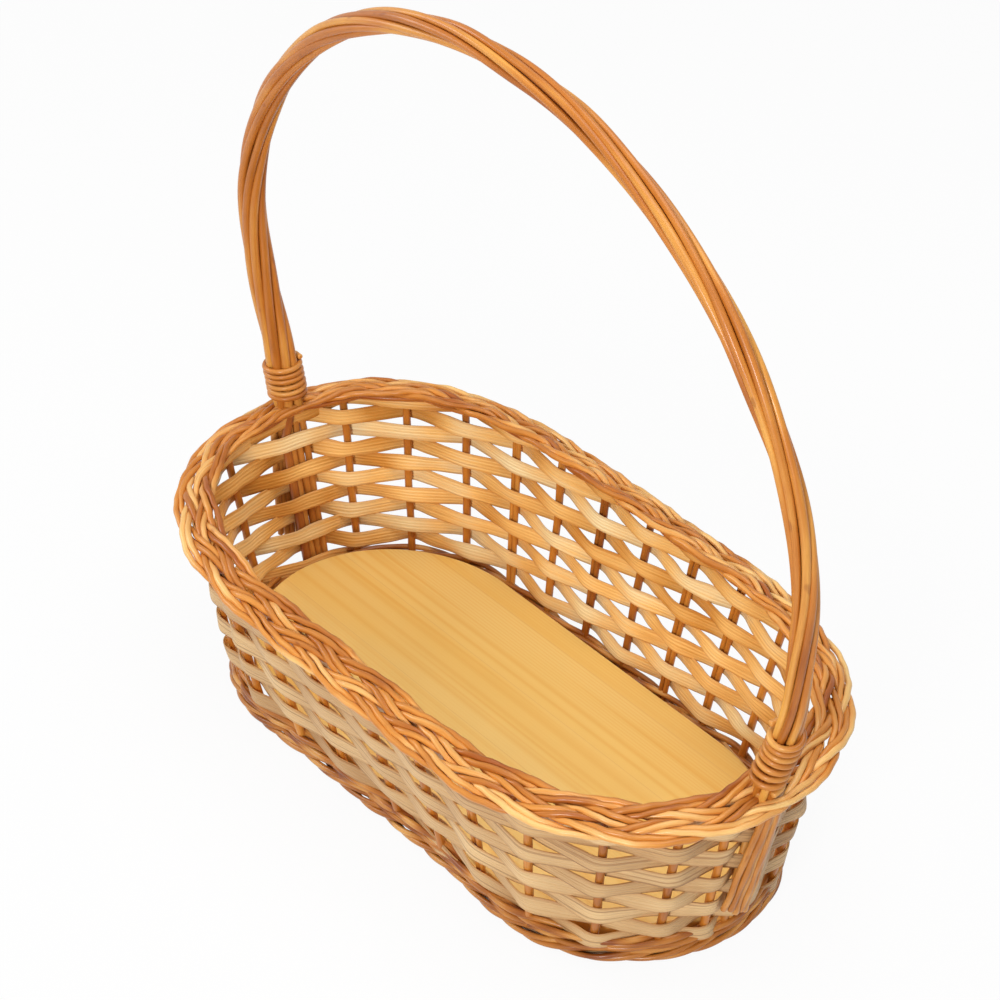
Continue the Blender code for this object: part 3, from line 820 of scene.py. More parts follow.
@dataclass
class Stakes:
    """The upright rods, some of them thin pairs."""

    wall: WallForm
    plan: StakePlan
    radius: float = 0.0025
    thin_radius: float = 0.00165
    pair_step: float = 0.0031
    pairs: tuple[int, ...] = (3, 5, 6, 8, 10, 17, 20, 23)
    lift: float = 0.0075
    sink: float = 0.0006
    sections: int = 30
    sides: int = 12

    def build(self) -> None:
        """Shapes every stake: a straight rod up the wall with a slight sway of its own."""
        low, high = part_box("stake_01")
        height = np.linspace(low.z - self.sink, high.z + self.lift, self.sections)
        up = np.linspace(0, 1, self.sections)
        rods = []
        for number, (share, below) in enumerate(zip(self.plan.shares(), self.plan.feet())):
            if number in self.plan.legs():
                continue
            pair = number in self.pairs
            for place in (-0.5, 0.5) if pair else (0.0,):
                seed = 40 + 2 * number + int(place > 0)
                aside = place * self.pair_step + 0.00025 * ripple(up, seed, 0, 2)
                foot = self.wall.points([below], low.z, self.wall.corner([below]))[0]
                top = self.wall.points([share], high.z)[0]
                level = ((height - low.z) / (high.z - low.z))[:, None]
                path = foot + (top - foot) * level
                _, normal = self.wall.read(np.full(self.sections, share), height)
                side = np.stack([-normal[:, 1], normal[:, 0], np.zeros(self.sections)], -1)
                outward = level_directions(normal)
                path = path + side * aside[:, None] + outward * (0.0002 * ripple(up, seed + 90, 0, 2))[:, None]
                size = (self.thin_radius if pair else self.radius) * (1 + 0.03 * ripple(up, seed + 7, 1, 3))
                own = 0.42 + 0.16 * ripple(np.array([number / 29 + place / 50]), 5, 2, 9)[0]
                tone = own + 0.05 * ripple(up, seed, 0, 3)
                rods.append(swept(path, outward, size, self.sides, tone, seed))
        nodes = [f"stake_{number:02d}" for number in range(1, self.plan.count - 1)]
        finish = WillowFinish((0.30, 0.080, 0.007), (0.54, 0.19, 0.022), (0.80, 0.38, 0.075)).material("stake_willow")
        new_piece("willow_stakes", Surface.joined(rods), Slot.STAKE, finish, *nodes)


@dataclass
class SplintWeave:
    """The rows of split wood, each over one stake and under the next, with one more below them."""

    wall: WallForm
    plan: StakePlan
    rows: int = 11
    thickness: float = 0.0013
    over: float = 0.00392
    flat: float = 0.0062
    leg_reach: float = 0.0078
    left_reach: float = 0.0105
    width: float = 0.0109
    wider: float = 0.09
    upright: float = 0.50
    highest: float = 0.1180
    far_rise: float = 0.0020
    draw: float = 0.016
    drawn: float = 0.8
    first_drop: float = 0.0045
    hidden: float = 0.0066
    tail: tuple[float, float] = (0.50, 0.83)
    places: tuple[float, ...] = (0.0, 0.05, 0.46, 0.66, 0.76, 0.845, 0.88, 0.935, 1.0)
    starts: tuple[float, ...] = (0.0165, 0.0157, 0.0157, 0.0380, 0.0335, 0.0270, 0.0213, 0.0175, 0.0165)
    pitches: tuple[float, ...] = (0.0110, 0.01047, 0.01047, 0.0111, 0.0107, 0.0117, 0.0119, 0.0118, 0.0110)
    samples: int = 616
    section: int = 20
    soft: int = 3

    def heights(self, row: int, share: Array) -> tuple[Array, Array]:
        """How high one band's middle runs, and how far it keeps to its side of the stakes.

        Formula: the rows start lowest on the near right and highest on the near left, and rise by
        a pitch that also varies round the wall; what would pass the rim stays under it, drawn in
        behind the row below. The row below the first shows only on the near left.

        Args:
            row: the row's number from 0, or -1 for the one below the first; the last lies under the rim.
            share: shares of the way round.

        Returns:
            Heights, and shares of the usual distance from the wall's middle.
        """
        around = np.mod(share, 1.0)
        level = np.interp(around, self.places, self.starts) + row * np.interp(around, self.places, self.pitches)
        if row < 0:
            shown = between(around, *self.tail)
            return self.hidden + (level - self.hidden) * shown, shown
        far = between(around, 0.0, 0.5)
        if row == 0:
            level = level - self.first_drop * far
        highest = self.highest + self.far_rise * far
        return np.minimum(level, highest), 1 - np.clip((level - highest) / self.draw, 0, self.drawn)

    def bends(self, row: int, edge: float) -> Array:
        """The corners of one edge of a band, above or below its middle.

        Formula: at each stake the band lies flat for a short reach to either side, on the outer
        or the inner side by turns, and it runs straight from stake to stake. It leans less than
        the wall does.
        """
        around = self.wall.girth(self.wall.high / 2)
        shares, offsets, carriers, feet = [], [], [], []
        for number, (share, below) in enumerate(zip(self.plan.shares(), self.plan.feet())):
            side = -1 if (number + row) % 2 == 0 else 1
            leg = number in self.plan.legs()
            reach = self.flat / 2 if not leg else self.leg_reach if number == 0 else self.left_reach
            stops = (-reach, 0.0, reach) if leg else (-reach, reach)
            shares += [share + stop / around for stop in stops]
            offsets += [side * self.over] * len(stops)
            carriers += [share] * len(stops)
            feet += [below] * len(stops)
        carriers = np.array(carriers)
        middle, kept = self.heights(row, carriers)
        height = middle + edge * self.upright
        level = ((height - self.foot) / (self.top - self.foot))[:, None]
        foot, top = self.wall.points(feet, self.foot, self.wall.corner(feet)), self.wall.points(carriers, self.top)
        bow = foot + (top - foot) * level - self.wall.points(carriers, height)
        points = self.wall.points(np.array(shares), height, np.array(offsets) * kept) + bow
        return points + UP * edge * (1 - self.upright)

    def build(self) -> None:
        """Shapes every band and dresses them alike."""
        low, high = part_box("stake_01")
        self.foot, self.top = low.z, high.z
        finish = SplintFinish().material("splint")
        for row in range(-1, self.rows):
            nodes = [f"band_row_{row + 1:02d}"] if 0 <= row < self.rows - 1 else []
            name = f"splint_{nodes[0]}" if nodes else "splint_low_row" if row < 0 else "splint_top_row"
            new_piece(name, self.band(row), Slot.SPLINT, finish, *nodes)

    def band(self, row: int) -> Surface:
        """One band: a thin rounded section carried along the bends, softened at each of them.

        Formula: the centre runs between a lower and an upper edge, each the row's bends read at
        even steps and averaged with their neighbours; the section is an oval of high power, so
        flat with round edges.
        """
        edges = np.stack([self.bends(row, side * self.width / 2) for side in (-1, 1)])
        closed = np.concatenate([edges, edges[:, :1]], 1)
        middle = closed.mean(0)
        gone = np.concatenate([[0.0], np.cumsum(np.linalg.norm(np.diff(middle, axis=0), axis=1))])
        even = np.linspace(0, gone[-1], self.samples, endpoint=False)
        lines = np.stack(
            [np.stack([np.interp(even, gone, edge[:, axis]) for edge in closed]) for axis in range(3)], -1
        )
        lines = np.moveaxis(softened(softened(np.moveaxis(lines, 2, 0), self.soft), self.soft), 0, 2)
        place = even / gone[-1]
        centre, lean = lines.mean(0), lines[1] - lines[0]
        sway = 0.0004 * ripple(place, 11, 1, 5) + 0.0003 * ripple(place, 100 + row, 3, 16)
        centre = centre + UP * sway[:, None]
        tangent = np.roll(centre, -1, 0) - np.roll(centre, 1, 0)
        normal = unit(np.cross(tangent, lean))
        beside = self.nearness(even, gone)
        near = between(place, 0.5, 1.0)
        width = 1.0 + self.wider * near + 0.03 * ripple(place, 200 + row, 2, 12)
        twist = 0.0004 * ripple(place, 300 + row, 8, 40)
        angle = TURN * np.arange(self.section) / self.section
        across = np.sign(np.cos(angle)) * np.abs(np.cos(angle)) ** 0.55 / 2
        deep = np.sign(np.sin(angle)) * np.abs(np.sin(angle)) ** 0.5 * self.thickness / 2
        points = (
            centre[:, None]
            + (width[:, None] * across[None])[..., None] * lean[:, None]
            + (deep[None] + twist[:, None] * across[None] * 2)[..., None] * normal[:, None]
        )
        faces = grid_faces(self.samples, self.section, True)
        rows, columns = faces // self.section, faces % self.section
        along = np.where(rows < rows[:, :1], gone[-1], even[rows])
        side = np.where(deep[columns].mean(1, keepdims=True) > 0, 1.0, -1.0) * np.ones((1, 4))
        size = float(np.linalg.norm(lean, axis=1).mean())
        grain = np.stack([across[columns] * size + SplintFinish.spacing * row, side, along + 2.3 * row], -1)
        tone = self.tones(row, place, beside)
        return Surface(points.reshape(-1, 3), faces, grain, np.repeat(tone, self.section))

    def nearness(self, even: Array, gone: Array) -> Array:
        """How near each sample is to a stake, from 0 halfway between two to 1 at one."""
        counts = [3 if number in self.plan.legs() else 2 for number in range(self.plan.count)]
        last = np.cumsum(counts) - 1
        first = last - np.array(counts) + 1
        middle = (gone[first] + gone[last]) / 2
        middle = np.concatenate([middle, [gone[-1] + middle[0]]])
        stake = np.interp(even, middle, np.arange(len(middle)))
        return 0.5 + 0.5 * np.cos(TURN * stake)

    def tones(self, row: int, place: Array, beside: Array) -> Array:
        """How light a band is along its length: its own tone, slow drift, and painted shade where it dives."""
        own = 0.60 + 0.16 * ripple(np.array([row / self.rows]), 21, 1, 4)[0]
        # Painted shade: darkest halfway between stakes, where the band dives through the weave.
        return own + 0.13 * ripple(place, 400 + row, 1, 14) - 0.22 * (1 - beside)


@dataclass
class PlaitedRim:
    """The border: a flat plait of five pairs of willow rods, with brown rods under its inner side."""

    wall: WallForm
    height: float = 0.1243
    lifted: tuple[float, float, float] = (0.44, 0.06, 0.0022)
    tilt: float = math.radians(17.0)
    strands: int = 5
    repeats: int = 24
    swing: float = 0.0092
    wave: float = 0.0052
    rod_radius: float = 0.00182
    pair_step: float = 0.0037
    samples: int = 200
    rounds: int = 350
    smoothed: int = 4
    hole: float = 0.0070
    steps: int = 2400
    sides: int = 10
    ends: int = 24
    under_length: float = 0.064
    under_from: float = 0.0016
    under_swing: float = 0.0096
    under_drop: float = 0.0022
    under_dip: float = 0.0010
    under_radius: float = 0.00180

    @cached_property
    def weave(self) -> Array:
        """Where a pair's two rods lie over one whole weave, out and up.

        Formula: over one weave a pair swings outward as the cosine of its phase, and it passes
        over and under the other four by turns. Then, round by round, rods that overlap push each
        other away, each pair keeps together, and every rod is drawn straighter and flatter. Last
        come a few rounds that only smooth it.

        Returns:
            Places of shape (rods, phases, 2).
        """
        phase = TURN * np.arange(self.samples) / self.samples
        side = (phase + math.pi) % TURN - math.pi
        step = np.abs(side) * self.strands / math.pi
        inner = -np.cos(math.pi * (step - 1))
        last = np.sin((self.strands - step) * math.pi / 2)
        rise = np.where(step <= 1, -np.sin(step * math.pi / 2), np.where(step >= self.strands - 1, last, inner))
        middle = np.stack([self.swing * np.cos(phase), self.wave * np.sign(side) * rise], -1)
        apart = np.array([-0.5, 0.5])[:, None, None] * (self.pair_step, 0.0)
        home = middle + apart
        rods = home.copy()
        for _ in range(self.rounds):
            rods = rods + 0.8 * self.pushed(rods)
            pair = rods[1] - rods[0]
            wide = np.maximum(np.linalg.norm(pair, axis=-1, keepdims=True), 1e-9)
            closer = 0.06 * (wide - self.pair_step) * pair / wide
            rods = rods + np.stack([closer, -closer])
            rods = 0.75 * rods + 0.125 * (np.roll(rods, 1, 1) + np.roll(rods, -1, 1))
            rods = rods * (1.0, 0.97)
            rods[..., 0] += 0.02 * (home - rods)[..., 0]
        for _ in range(self.smoothed):
            rods = 0.5 * rods + 0.25 * (np.roll(rods, 1, 1) + np.roll(rods, -1, 1))
        return rods

    def pushed(self, rods: Array) -> Array:
        """How far each rod is pushed by the rods that overlap it, at every phase."""
        step = self.samples // self.strands
        every = np.concatenate([np.roll(rods, -index * step, 1) for index in range(self.strands)])
        apart = every[:, None] - every[None]
        distance = np.linalg.norm(apart, axis=-1, keepdims=True)
        overlap = np.clip(2 * self.rod_radius - distance, 0, None) * (distance > 1e-9)
        push = (apart / np.maximum(distance, 1e-9) * overlap / 2).sum(1)
        each = push.reshape(self.strands, len(rods), self.samples, 2)
        return np.mean([np.roll(part, index * step, 1) for index, part in enumerate(each)], axis=0)

    def clear_of_legs(self, along: Array, out: Array, around: float) -> tuple[Array, Array]:
        """Moves a rod straight away from the nearest leg, the more the closer it lies."""
        legs = np.array([leg.value for leg in Leg] + [1.0]) * around
        leg = legs[np.abs(along[:, None] - legs).argmin(1)]
        beside = along - leg
        distance = np.hypot(beside, out)
        pushed = np.hypot(distance, self.hole) / np.maximum(distance, 0.0003)
        return leg + beside * pushed, out * pushed

    def tilted(self, out: Array, lift: Array) -> tuple[Array, Array]:
        """Places in the plait's section, out and up, turned by its tilt."""
        cosine, sine = math.cos(self.tilt), math.sin(self.tilt)
        return out * cosine + lift * sine, lift * cosine - out * sine

    def build(self) -> None:
        """Shapes and dresses the plait and the rods under it."""
        finish = WillowFinish((0.36, 0.088, 0.007), (0.70, 0.275, 0.045), (0.95, 0.62, 0.23)).material("rim_willow")
        nodes = [f"rim_strand_{index}" for index in (1, 2, 3)]
        plait = Surface.joined([self.rod(index) for index in range(2)])
        new_piece("plaited_rim", plait, Slot.PEELED, finish, *nodes)
        new_piece("rim_under_rods", self.under_rods(), Slot.PEELED, finish)

    def rod(self, index: int) -> Surface:
        """One rod of the pairs, which goes five times round before it meets its own start.

        Formula: the phase grows by one weave every five crossings, and the place in the weave is
        turned by the rim's tilt; its middle is pushed clear of the handle's legs.
        """
        around = self.wall.girth(self.height)
        share = np.arange(self.steps) / self.steps * self.strands
        beat = self.repeats * share + 0.5 * np.sin(math.pi * share) ** 2
        turns = (beat - 0.5) / self.strands
        place = np.mod(turns, 1.0) * self.samples
        weave = np.concatenate([self.weave[index], self.weave[index][:1]])
        out, lift = (np.interp(place, np.arange(self.samples + 1), weave[:, axis]) for axis in (0, 1))
        seed = 500 + 100 * index
        wander = share / self.strands
        tone = self.tones(turns, out, seed)
        out = out + 0.00030 * ripple(wander, seed + 1, 10, 70)
        lift = lift + 0.00020 * ripple(wander, seed + 2, 10, 70)
        along, out = self.clear_of_legs(np.mod(share, 1.0) * around, out, around)
        across, raised = self.tilted(out, lift)
        place, wide, high = self.lifted
        crest = high * np.exp(-(((along / around - place) / wide) ** 2))
        path = self.wall.points(along / around, np.full(self.steps, self.height), across, raised + crest)
        radius = self.rod_radius * (1 + 0.07 * ripple(wander, seed + 3, 10, 90))
        return swept(path, UP, radius, self.sides, tone, seed, True)

    def tones(self, turns: Array, out: Array, seed: int) -> Array:
        """A rod's tone: every half weave has its own, with painted light on the outer side and painted shade inside.
        """
        halves = 2 * self.repeats
        own = np.random.default_rng(seed).uniform(-0.34, 0.34, halves)
        half = np.floor(2 * turns).astype(int) % halves
        # The out term is painted light and shade: lighter on the plait's outer side, darker on its inner side.
        return softened(0.46 + own[half], 9) + 0.12 * out / self.swing

    def under_rods(self) -> Surface:
        """Brown rods that leave the plait's middle, lie under its inner side and go back in.

        Formula: over its length each rod swings from under the plait's middle to its inner side
        and back by the sine of its way, and dips a little with it.
        """
        around = self.wall.girth(self.height)
        parts = []
        way = np.linspace(0, 1, 26)
        for number in range(self.ends):
            seed = 700 + number
            noise = np.random.default_rng(seed).uniform(-1, 1, 5)
            start = (number + 0.55 + 0.10 * noise[0]) / self.ends
            length = self.under_length + 0.006 * noise[1]
            share = start + way * length / around
            out = self.under_from - (self.under_swing + 0.0008 * noise[2]) * np.sin(way * math.pi)
            lift = -self.under_drop - (self.under_dip + 0.0006 * noise[3]) * np.sin(way * math.pi)
            path = self.wall.points(share, self.height, *self.tilted(out, lift))
            radius = self.under_radius * (1 + 0.08 * noise[4]) * (1 - 0.12 * way)
            tone = 0.06 + 0.14 * (noise[1] + 1) / 2
            parts.append(swept(path, UP, radius, self.sides, tone, seed))
        return Surface.joined(parts)


@dataclass
class RopedFoot:
    """The foot: three strands of two rods laid round one another under the board's edge."""

    wall: WallForm
    strands: int = 3
    turns: int = 9
    radius: float = 0.0024
    lay_gap: float = 0.0006
    flattening: float = 0.0007
    flat: float = 0.0005
    rod_radius: float = 0.0017
    rod_step: float = 0.0015
    courses: tuple[float, ...] = (0.0098, 0.0128, 0.0158)
    twists: int = 11
    twine_swing: float = 0.0024
    twine_rise: float = 0.0020
    twine_radius: float = 0.0019
    steps: int = 540
    sides: int = 9

    def build(self) -> None:
        """Shapes and dresses the strands and the rods twined round the stakes above them."""
        finish = WillowFinish((0.26, 0.065, 0.006), (0.50, 0.18, 0.026), (0.74, 0.38, 0.095)).material("foot_willow")
        for index in range(self.strands):
            name = f"foot_strand_{index + 1}"
            new_piece(f"roped_{name}", self.rods_of(index), Slot.BROWN, finish, name)
        new_piece("twined_foot_rods", self.twine(), Slot.BROWN, finish)

    def twine(self) -> Surface:
        """Pairs of rods that turn round one another between the foot and the first bands.

        Formula: out and up go as the cosine and the sine of the twist, flattened upward; each
        course lies over the one below, a quarter of a twist on.
        """
        steps = 3 * self.steps
        share = np.arange(steps) / steps
        parts = []
        for course, height in enumerate(self.courses):
            for rod in range(2):
                seed = 860 + 10 * course + rod
                phase = TURN * (self.twists * share + rod / 2 + course / 4) + 0.4 * ripple(share, seed, 3, 12)
                out = self.twine_swing * np.cos(phase) + self.wall.corner(share)
                path = self.wall.points(share, height, out, self.twine_rise * np.sin(phase))
                radius = self.twine_radius * (1 + 0.07 * ripple(share, seed + 5, 6, 40))
                tone = 0.40 + 0.22 * ripple(share, seed + 7, 8, 40)
                parts.append(swept(path, UP, radius, self.sides, tone, seed, True))
        return Surface.joined(parts)

    def rods_of(self, index: int) -> Surface:
        """Two rods that run side by side round the rope.

        Formula: the strand's middle goes round an oval once a turn; each rod lies a little ahead
        of it or behind it, along the oval. Nothing lies below the ground.
        """
        rise = (2 * self.radius + self.lay_gap) / math.sqrt(3)
        spread = rise + self.flattening
        centre = rise + self.radius * math.cos(math.pi / 6) - self.flat
        share = np.arange(self.steps) / self.steps
        parts = []
        for rod in range(2):
            seed = 800 + 10 * index + rod
            phase = TURN * (self.turns * share + index / self.strands)
            way = (rod - 0.5) * 2
            out = spread * np.cos(phase) - way * self.rod_step * np.sin(phase)
            lift = rise * np.sin(phase) + way * self.rod_step * np.cos(phase)
            out = out + 0.0004 * ripple(share, seed, 5, 25)
            path = self.wall.points(share, centre, out + self.wall.corner(share), lift)
            radius = self.rod_radius * (1 + 0.08 * ripple(share, seed + 50, 4, 24))
            path[:, 2] = np.maximum(path[:, 2], radius + 0.00005)
            tone = 0.45 + 0.20 * ripple(share, seed + 70, 6, 30)
            parts.append(swept(path, UP, radius, self.sides, tone, seed, True))
        surface = Surface.joined(parts)
        surface.points[:, 2] = np.maximum(surface.points[:, 2], 0.0)
        return surface


@dataclass
class BowHandle:
    """The bow: a thick core and seven rods laid round it, bound at both feet."""

    wall: WallForm
    rim_height: float = 0.1243
    bulge: float = 0.0112
    widest_height: float = 0.2488
    crown_rise: float = 0.2158
    start: float = 0.1338
    core_radius: float = 0.0029
    rods: int = 7
    rod_radius: float = 0.00213
    core_gap: float = 0.00015
    turns: float = 2.0
    turn_back: float = 0.0057
    turned_from: float = 0.300
    foot_inset: float = 0.0035
    foot_aside: float = 0.0058
    aside_from: float = 0.164
    right_out: float = 0.0040
    right_from: tuple[float, float] = (0.140, 0.195)
    right_to: tuple[float, float] = (0.280, 0.420)
    core_aside: float = 0.0060
    sunk: float = 0.1236
    steps: int = 300
    sides: int = 12
    loops: tuple[float, float] = (7.5, 6.3)
    pitches: tuple[float, float] = (0.0049, 0.0038)
    loop_points: int = 28
    binding_radii: tuple[float, float] = (0.0018, 0.00165)
    sway: float = 0.00022
    binding_gap: float = 0.0001
    binding_drop: float = 0.0012
    core_drop: float = 0.02
    girth_places: tuple[float, ...] = (0.0, 0.12, 0.30, 0.50, 0.62, 0.75, 0.88, 1.0)
    girth_sizes: tuple[float, ...] = (0.91, 0.96, 1.0, 0.92, 0.94, 1.06, 1.17, 1.27)

    @cached_property
    def line(self) -> tuple[Array, Array]:
        """Distances and points of the handle's centreline, from foot to foot.

        Formula: the crown is half an ellipse; below its widest level the bow draws in along a
        flatter ellipse to meet the rim, and below the rim it follows the wall. The upright plane
        of the bow turns about the right foot, and its left side swings smoothly further to the far
        side and in, down to its foot. The right side stands out a little over a stretch, and its
        foot swings to the near side.
        """
        half_width = self.wall.high_length + self.bulge
        drop = (self.widest_height - self.rim_height) / math.sqrt(1 - (self.wall.high_length / half_width) ** 2)
        height = np.linspace(self.start, self.widest_height, 500)[:-1]
        lower = np.stack([half_width * np.sqrt(1 - ((self.widest_height - height) / drop) ** 2), height], -1)
        turn = np.linspace(0, math.pi / 2, 700)
        crown = np.stack([half_width * np.cos(turn), self.widest_height + self.crown_rise * np.sin(turn)], -1)
        sunk = np.linspace(self.sunk, self.start, 40)[:-1]
        inside = np.stack([self.wall.points(np.zeros(len(sunk)), sunk)[:, 0], sunk], -1)
        half = np.concatenate([inside, lower, crown])
        flat = np.concatenate([half, (half * (-1, 1))[::-1][1:]])
        leg = self.wall.points([Leg.LEFT.value], self.rim_height)[0]
        back = self.turn_back * (self.wall.high_length - flat[:, 0]) / (2 * self.wall.high_length)
        down = np.clip((self.turned_from - flat[:, 1]) / (self.turned_from - self.start), 0, 1)
        down = np.where(flat[:, 0] < 0, eased(down), 0.0)
        near = np.clip((self.aside_from - flat[:, 1]) / (self.aside_from - self.start), 0, 1)
        near = np.where(flat[:, 0] > 0, eased(near) * self.foot_aside, 0.0)
        across = back - near + (leg[1] - self.turn_back) * down
        out = np.interp(flat[:, 1], self.right_from + self.right_to, (0.0, 1.0, 1.0, 0.0))
        out = np.where(flat[:, 0] > 0, eased(out) * self.right_out, 0.0)
        path = np.stack([flat[:, 0] + self.foot_inset * down**3 + out, across, flat[:, 1]], -1)
        gone = np.concatenate([[0.0], np.cumsum(np.linalg.norm(np.diff(path, axis=0), axis=1))])
        return gone, path

    @cached_property
    def foot(self) -> float:
        """How far along the line the arch starts above the rim."""
        gone, path = self.line
        return float(gone[np.argmax(path[:, 2] >= self.start)])

    def at(self, distance: Array) -> tuple[Array, Array, Array]:
        """Points on the centreline at distances along it, with outward and sideways directions."""
        gone, path = self.line
        place = np.stack([np.interp(distance, gone, path[:, axis]) for axis in range(3)], -1)
        slope = np.gradient(path, gone, axis=0)
        way = unit(np.stack([np.interp(distance, gone, slope[:, axis]) for axis in range(3)], -1))
        outward = unit(np.cross(ACROSS, way))
        return place, outward, np.cross(way, outward)

    def girth(self, distance: Array) -> Array:
        """The bundle's thickness against its usual one: thin at the crown, thick on the left."""
        share = distance / self.line[0][-1]
        return np.interp(share, self.girth_places, self.girth_sizes)

    def ring(self, distance: Array) -> Array:
        """How far the rods lie from the centreline."""
        return (self.core_radius + self.core_gap + self.rod_radius) * self.girth(distance)

    def build(self) -> None:
        """Shapes and dresses the core, the rods and the bindings."""
        bow = WillowFinish((0.33, 0.085, 0.007), (0.54, 0.18, 0.022), (0.80, 0.40, 0.08)).material("bow_willow")
        dark = WillowFinish((0.24, 0.06, 0.009), (0.42, 0.13, 0.022), (0.62, 0.26, 0.06)).material("core_willow")
        tie = WillowFinish((0.36, 0.10, 0.009), (0.60, 0.22, 0.035), (0.84, 0.46, 0.12)).material("binding_willow")
        new_piece("bow_core", self.core(), Slot.BROWN, dark, "handle_core")
        for index in range(self.rods):
            name = f"handle_rod_{index + 1}"
            new_piece(f"bow_{name}", self.rod(index), Slot.PEELED, bow, name)
        for leg in Leg:
            name = f"handle_binding_{leg.name.lower()}"
            new_piece(f"wound_{name}", self.binding(leg), Slot.PEELED, tie, name)

    def core(self) -> Surface:
        """The thick rod, which goes on down both legs to the foot."""
        low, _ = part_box("handle_core")
        total = self.line[0][-1]
        distance = np.linspace(0, total, self.steps)
        centre, _, _ = self.at(distance)
        height = np.linspace(low.z, self.sunk - self.core_drop, 20)
        beside = self.core_aside / self.wall.girth(self.rim_height)
        shares = (Leg.RIGHT.value, Leg.LEFT.value + beside)
        right, left = (self.wall.points(np.full(len(height), share), height) for share in shares)
        path = np.concatenate([right, centre, left[::-1]])
        place = np.linspace(0, 1, len(path))
        radius = self.core_radius * (1 + 0.03 * ripple(place, 31, 2, 12))
        tone = 0.42 + 0.12 * ripple(place, 32, 2, 14)
        return swept(path, ACROSS, radius, self.sides, tone, 31)

    def rod(self, index: int) -> Surface:
        """One outer rod.

        Formula: centreline + ring * (cos a * outward + sin a * sideways), where a goes round
        evenly with the way along the bow, plus the rod's own slight sway.
        """
        total = self.line[0][-1]
        distance = np.linspace(0, total, self.steps)
        centre, outward, sideways = self.at(distance)
        place = distance / total
        seed = 60 + index
        travelled = (distance - self.foot) / (total - 2 * self.foot)
        angle = TURN * (self.turns * travelled + index / self.rods) + 0.10 * ripple(place, seed, 1, 7)
        ring = self.ring(distance) + self.sway * ripple(place, seed + 20, 2, 14)
        path = centre + ring[:, None] * (np.cos(angle)[:, None] * outward + np.sin(angle)[:, None] * sideways)
        radius = (self.rod_radius + self.sway) * self.girth(distance) * (1 + 0.05 * ripple(place, seed + 40, 1, 8))
        own = np.random.default_rng(seed).uniform(-0.16, 0.16)
        tone = 0.50 + own + 0.13 * ripple(place, seed + 60, 1, 9)
        return swept(path, ACROSS, radius, self.sides, tone, seed)

    def binding(self, leg: Leg) -> Surface:
        """The rod wound round one foot.

        Formula: a helix round the centreline that follows the bundle's taper.
        """
        total = self.line[0][-1]
        which = list(Leg).index(leg)
        loops, pitch, size = self.loops[which], self.pitches[which], self.binding_radii[which]
        turn = TURN * np.linspace(0, loops, round(loops * self.loop_points) + 1)
        up = self.foot - self.binding_drop + size + pitch * turn / TURN
        up = up + 0.00018 * ripple(turn / turn[-1], 71 + leg.side, 3, 12)
        distance = up if leg is Leg.RIGHT else total - up
        centre, outward, sideways = self.at(distance)
        bundle = self.ring(distance) + self.rod_radius * self.girth(distance)
        reach = (bundle + self.binding_gap + size)[:, None]
        path = centre + reach * (np.cos(turn)[:, None] * outward + np.sin(turn)[:, None] * sideways)
        first, last = unit(path[0] - path[1]), unit(path[-1] - path[-2])
        path = np.concatenate([[path[0] + first * 2 * size], path, [path[-1] + last * 2 * size]])
        place = np.linspace(0, 1, len(path))
        radius = size * (1 + 0.04 * ripple(place, 73, 3, 20))
        tone = 0.48 + 0.14 * ripple(place, 74 + leg.side, 2, 9)
        return swept(path, outward_reference(path, centre), radius, 10, tone, 75 + leg.side)


def outward_reference(path: Array, centre: Array) -> Array:
    """Directions from the middle of a winding to its rod, one for each point of the rod."""
    middle = np.concatenate([centre[:1], centre, centre[-1:]])
    return unit(path - middle)


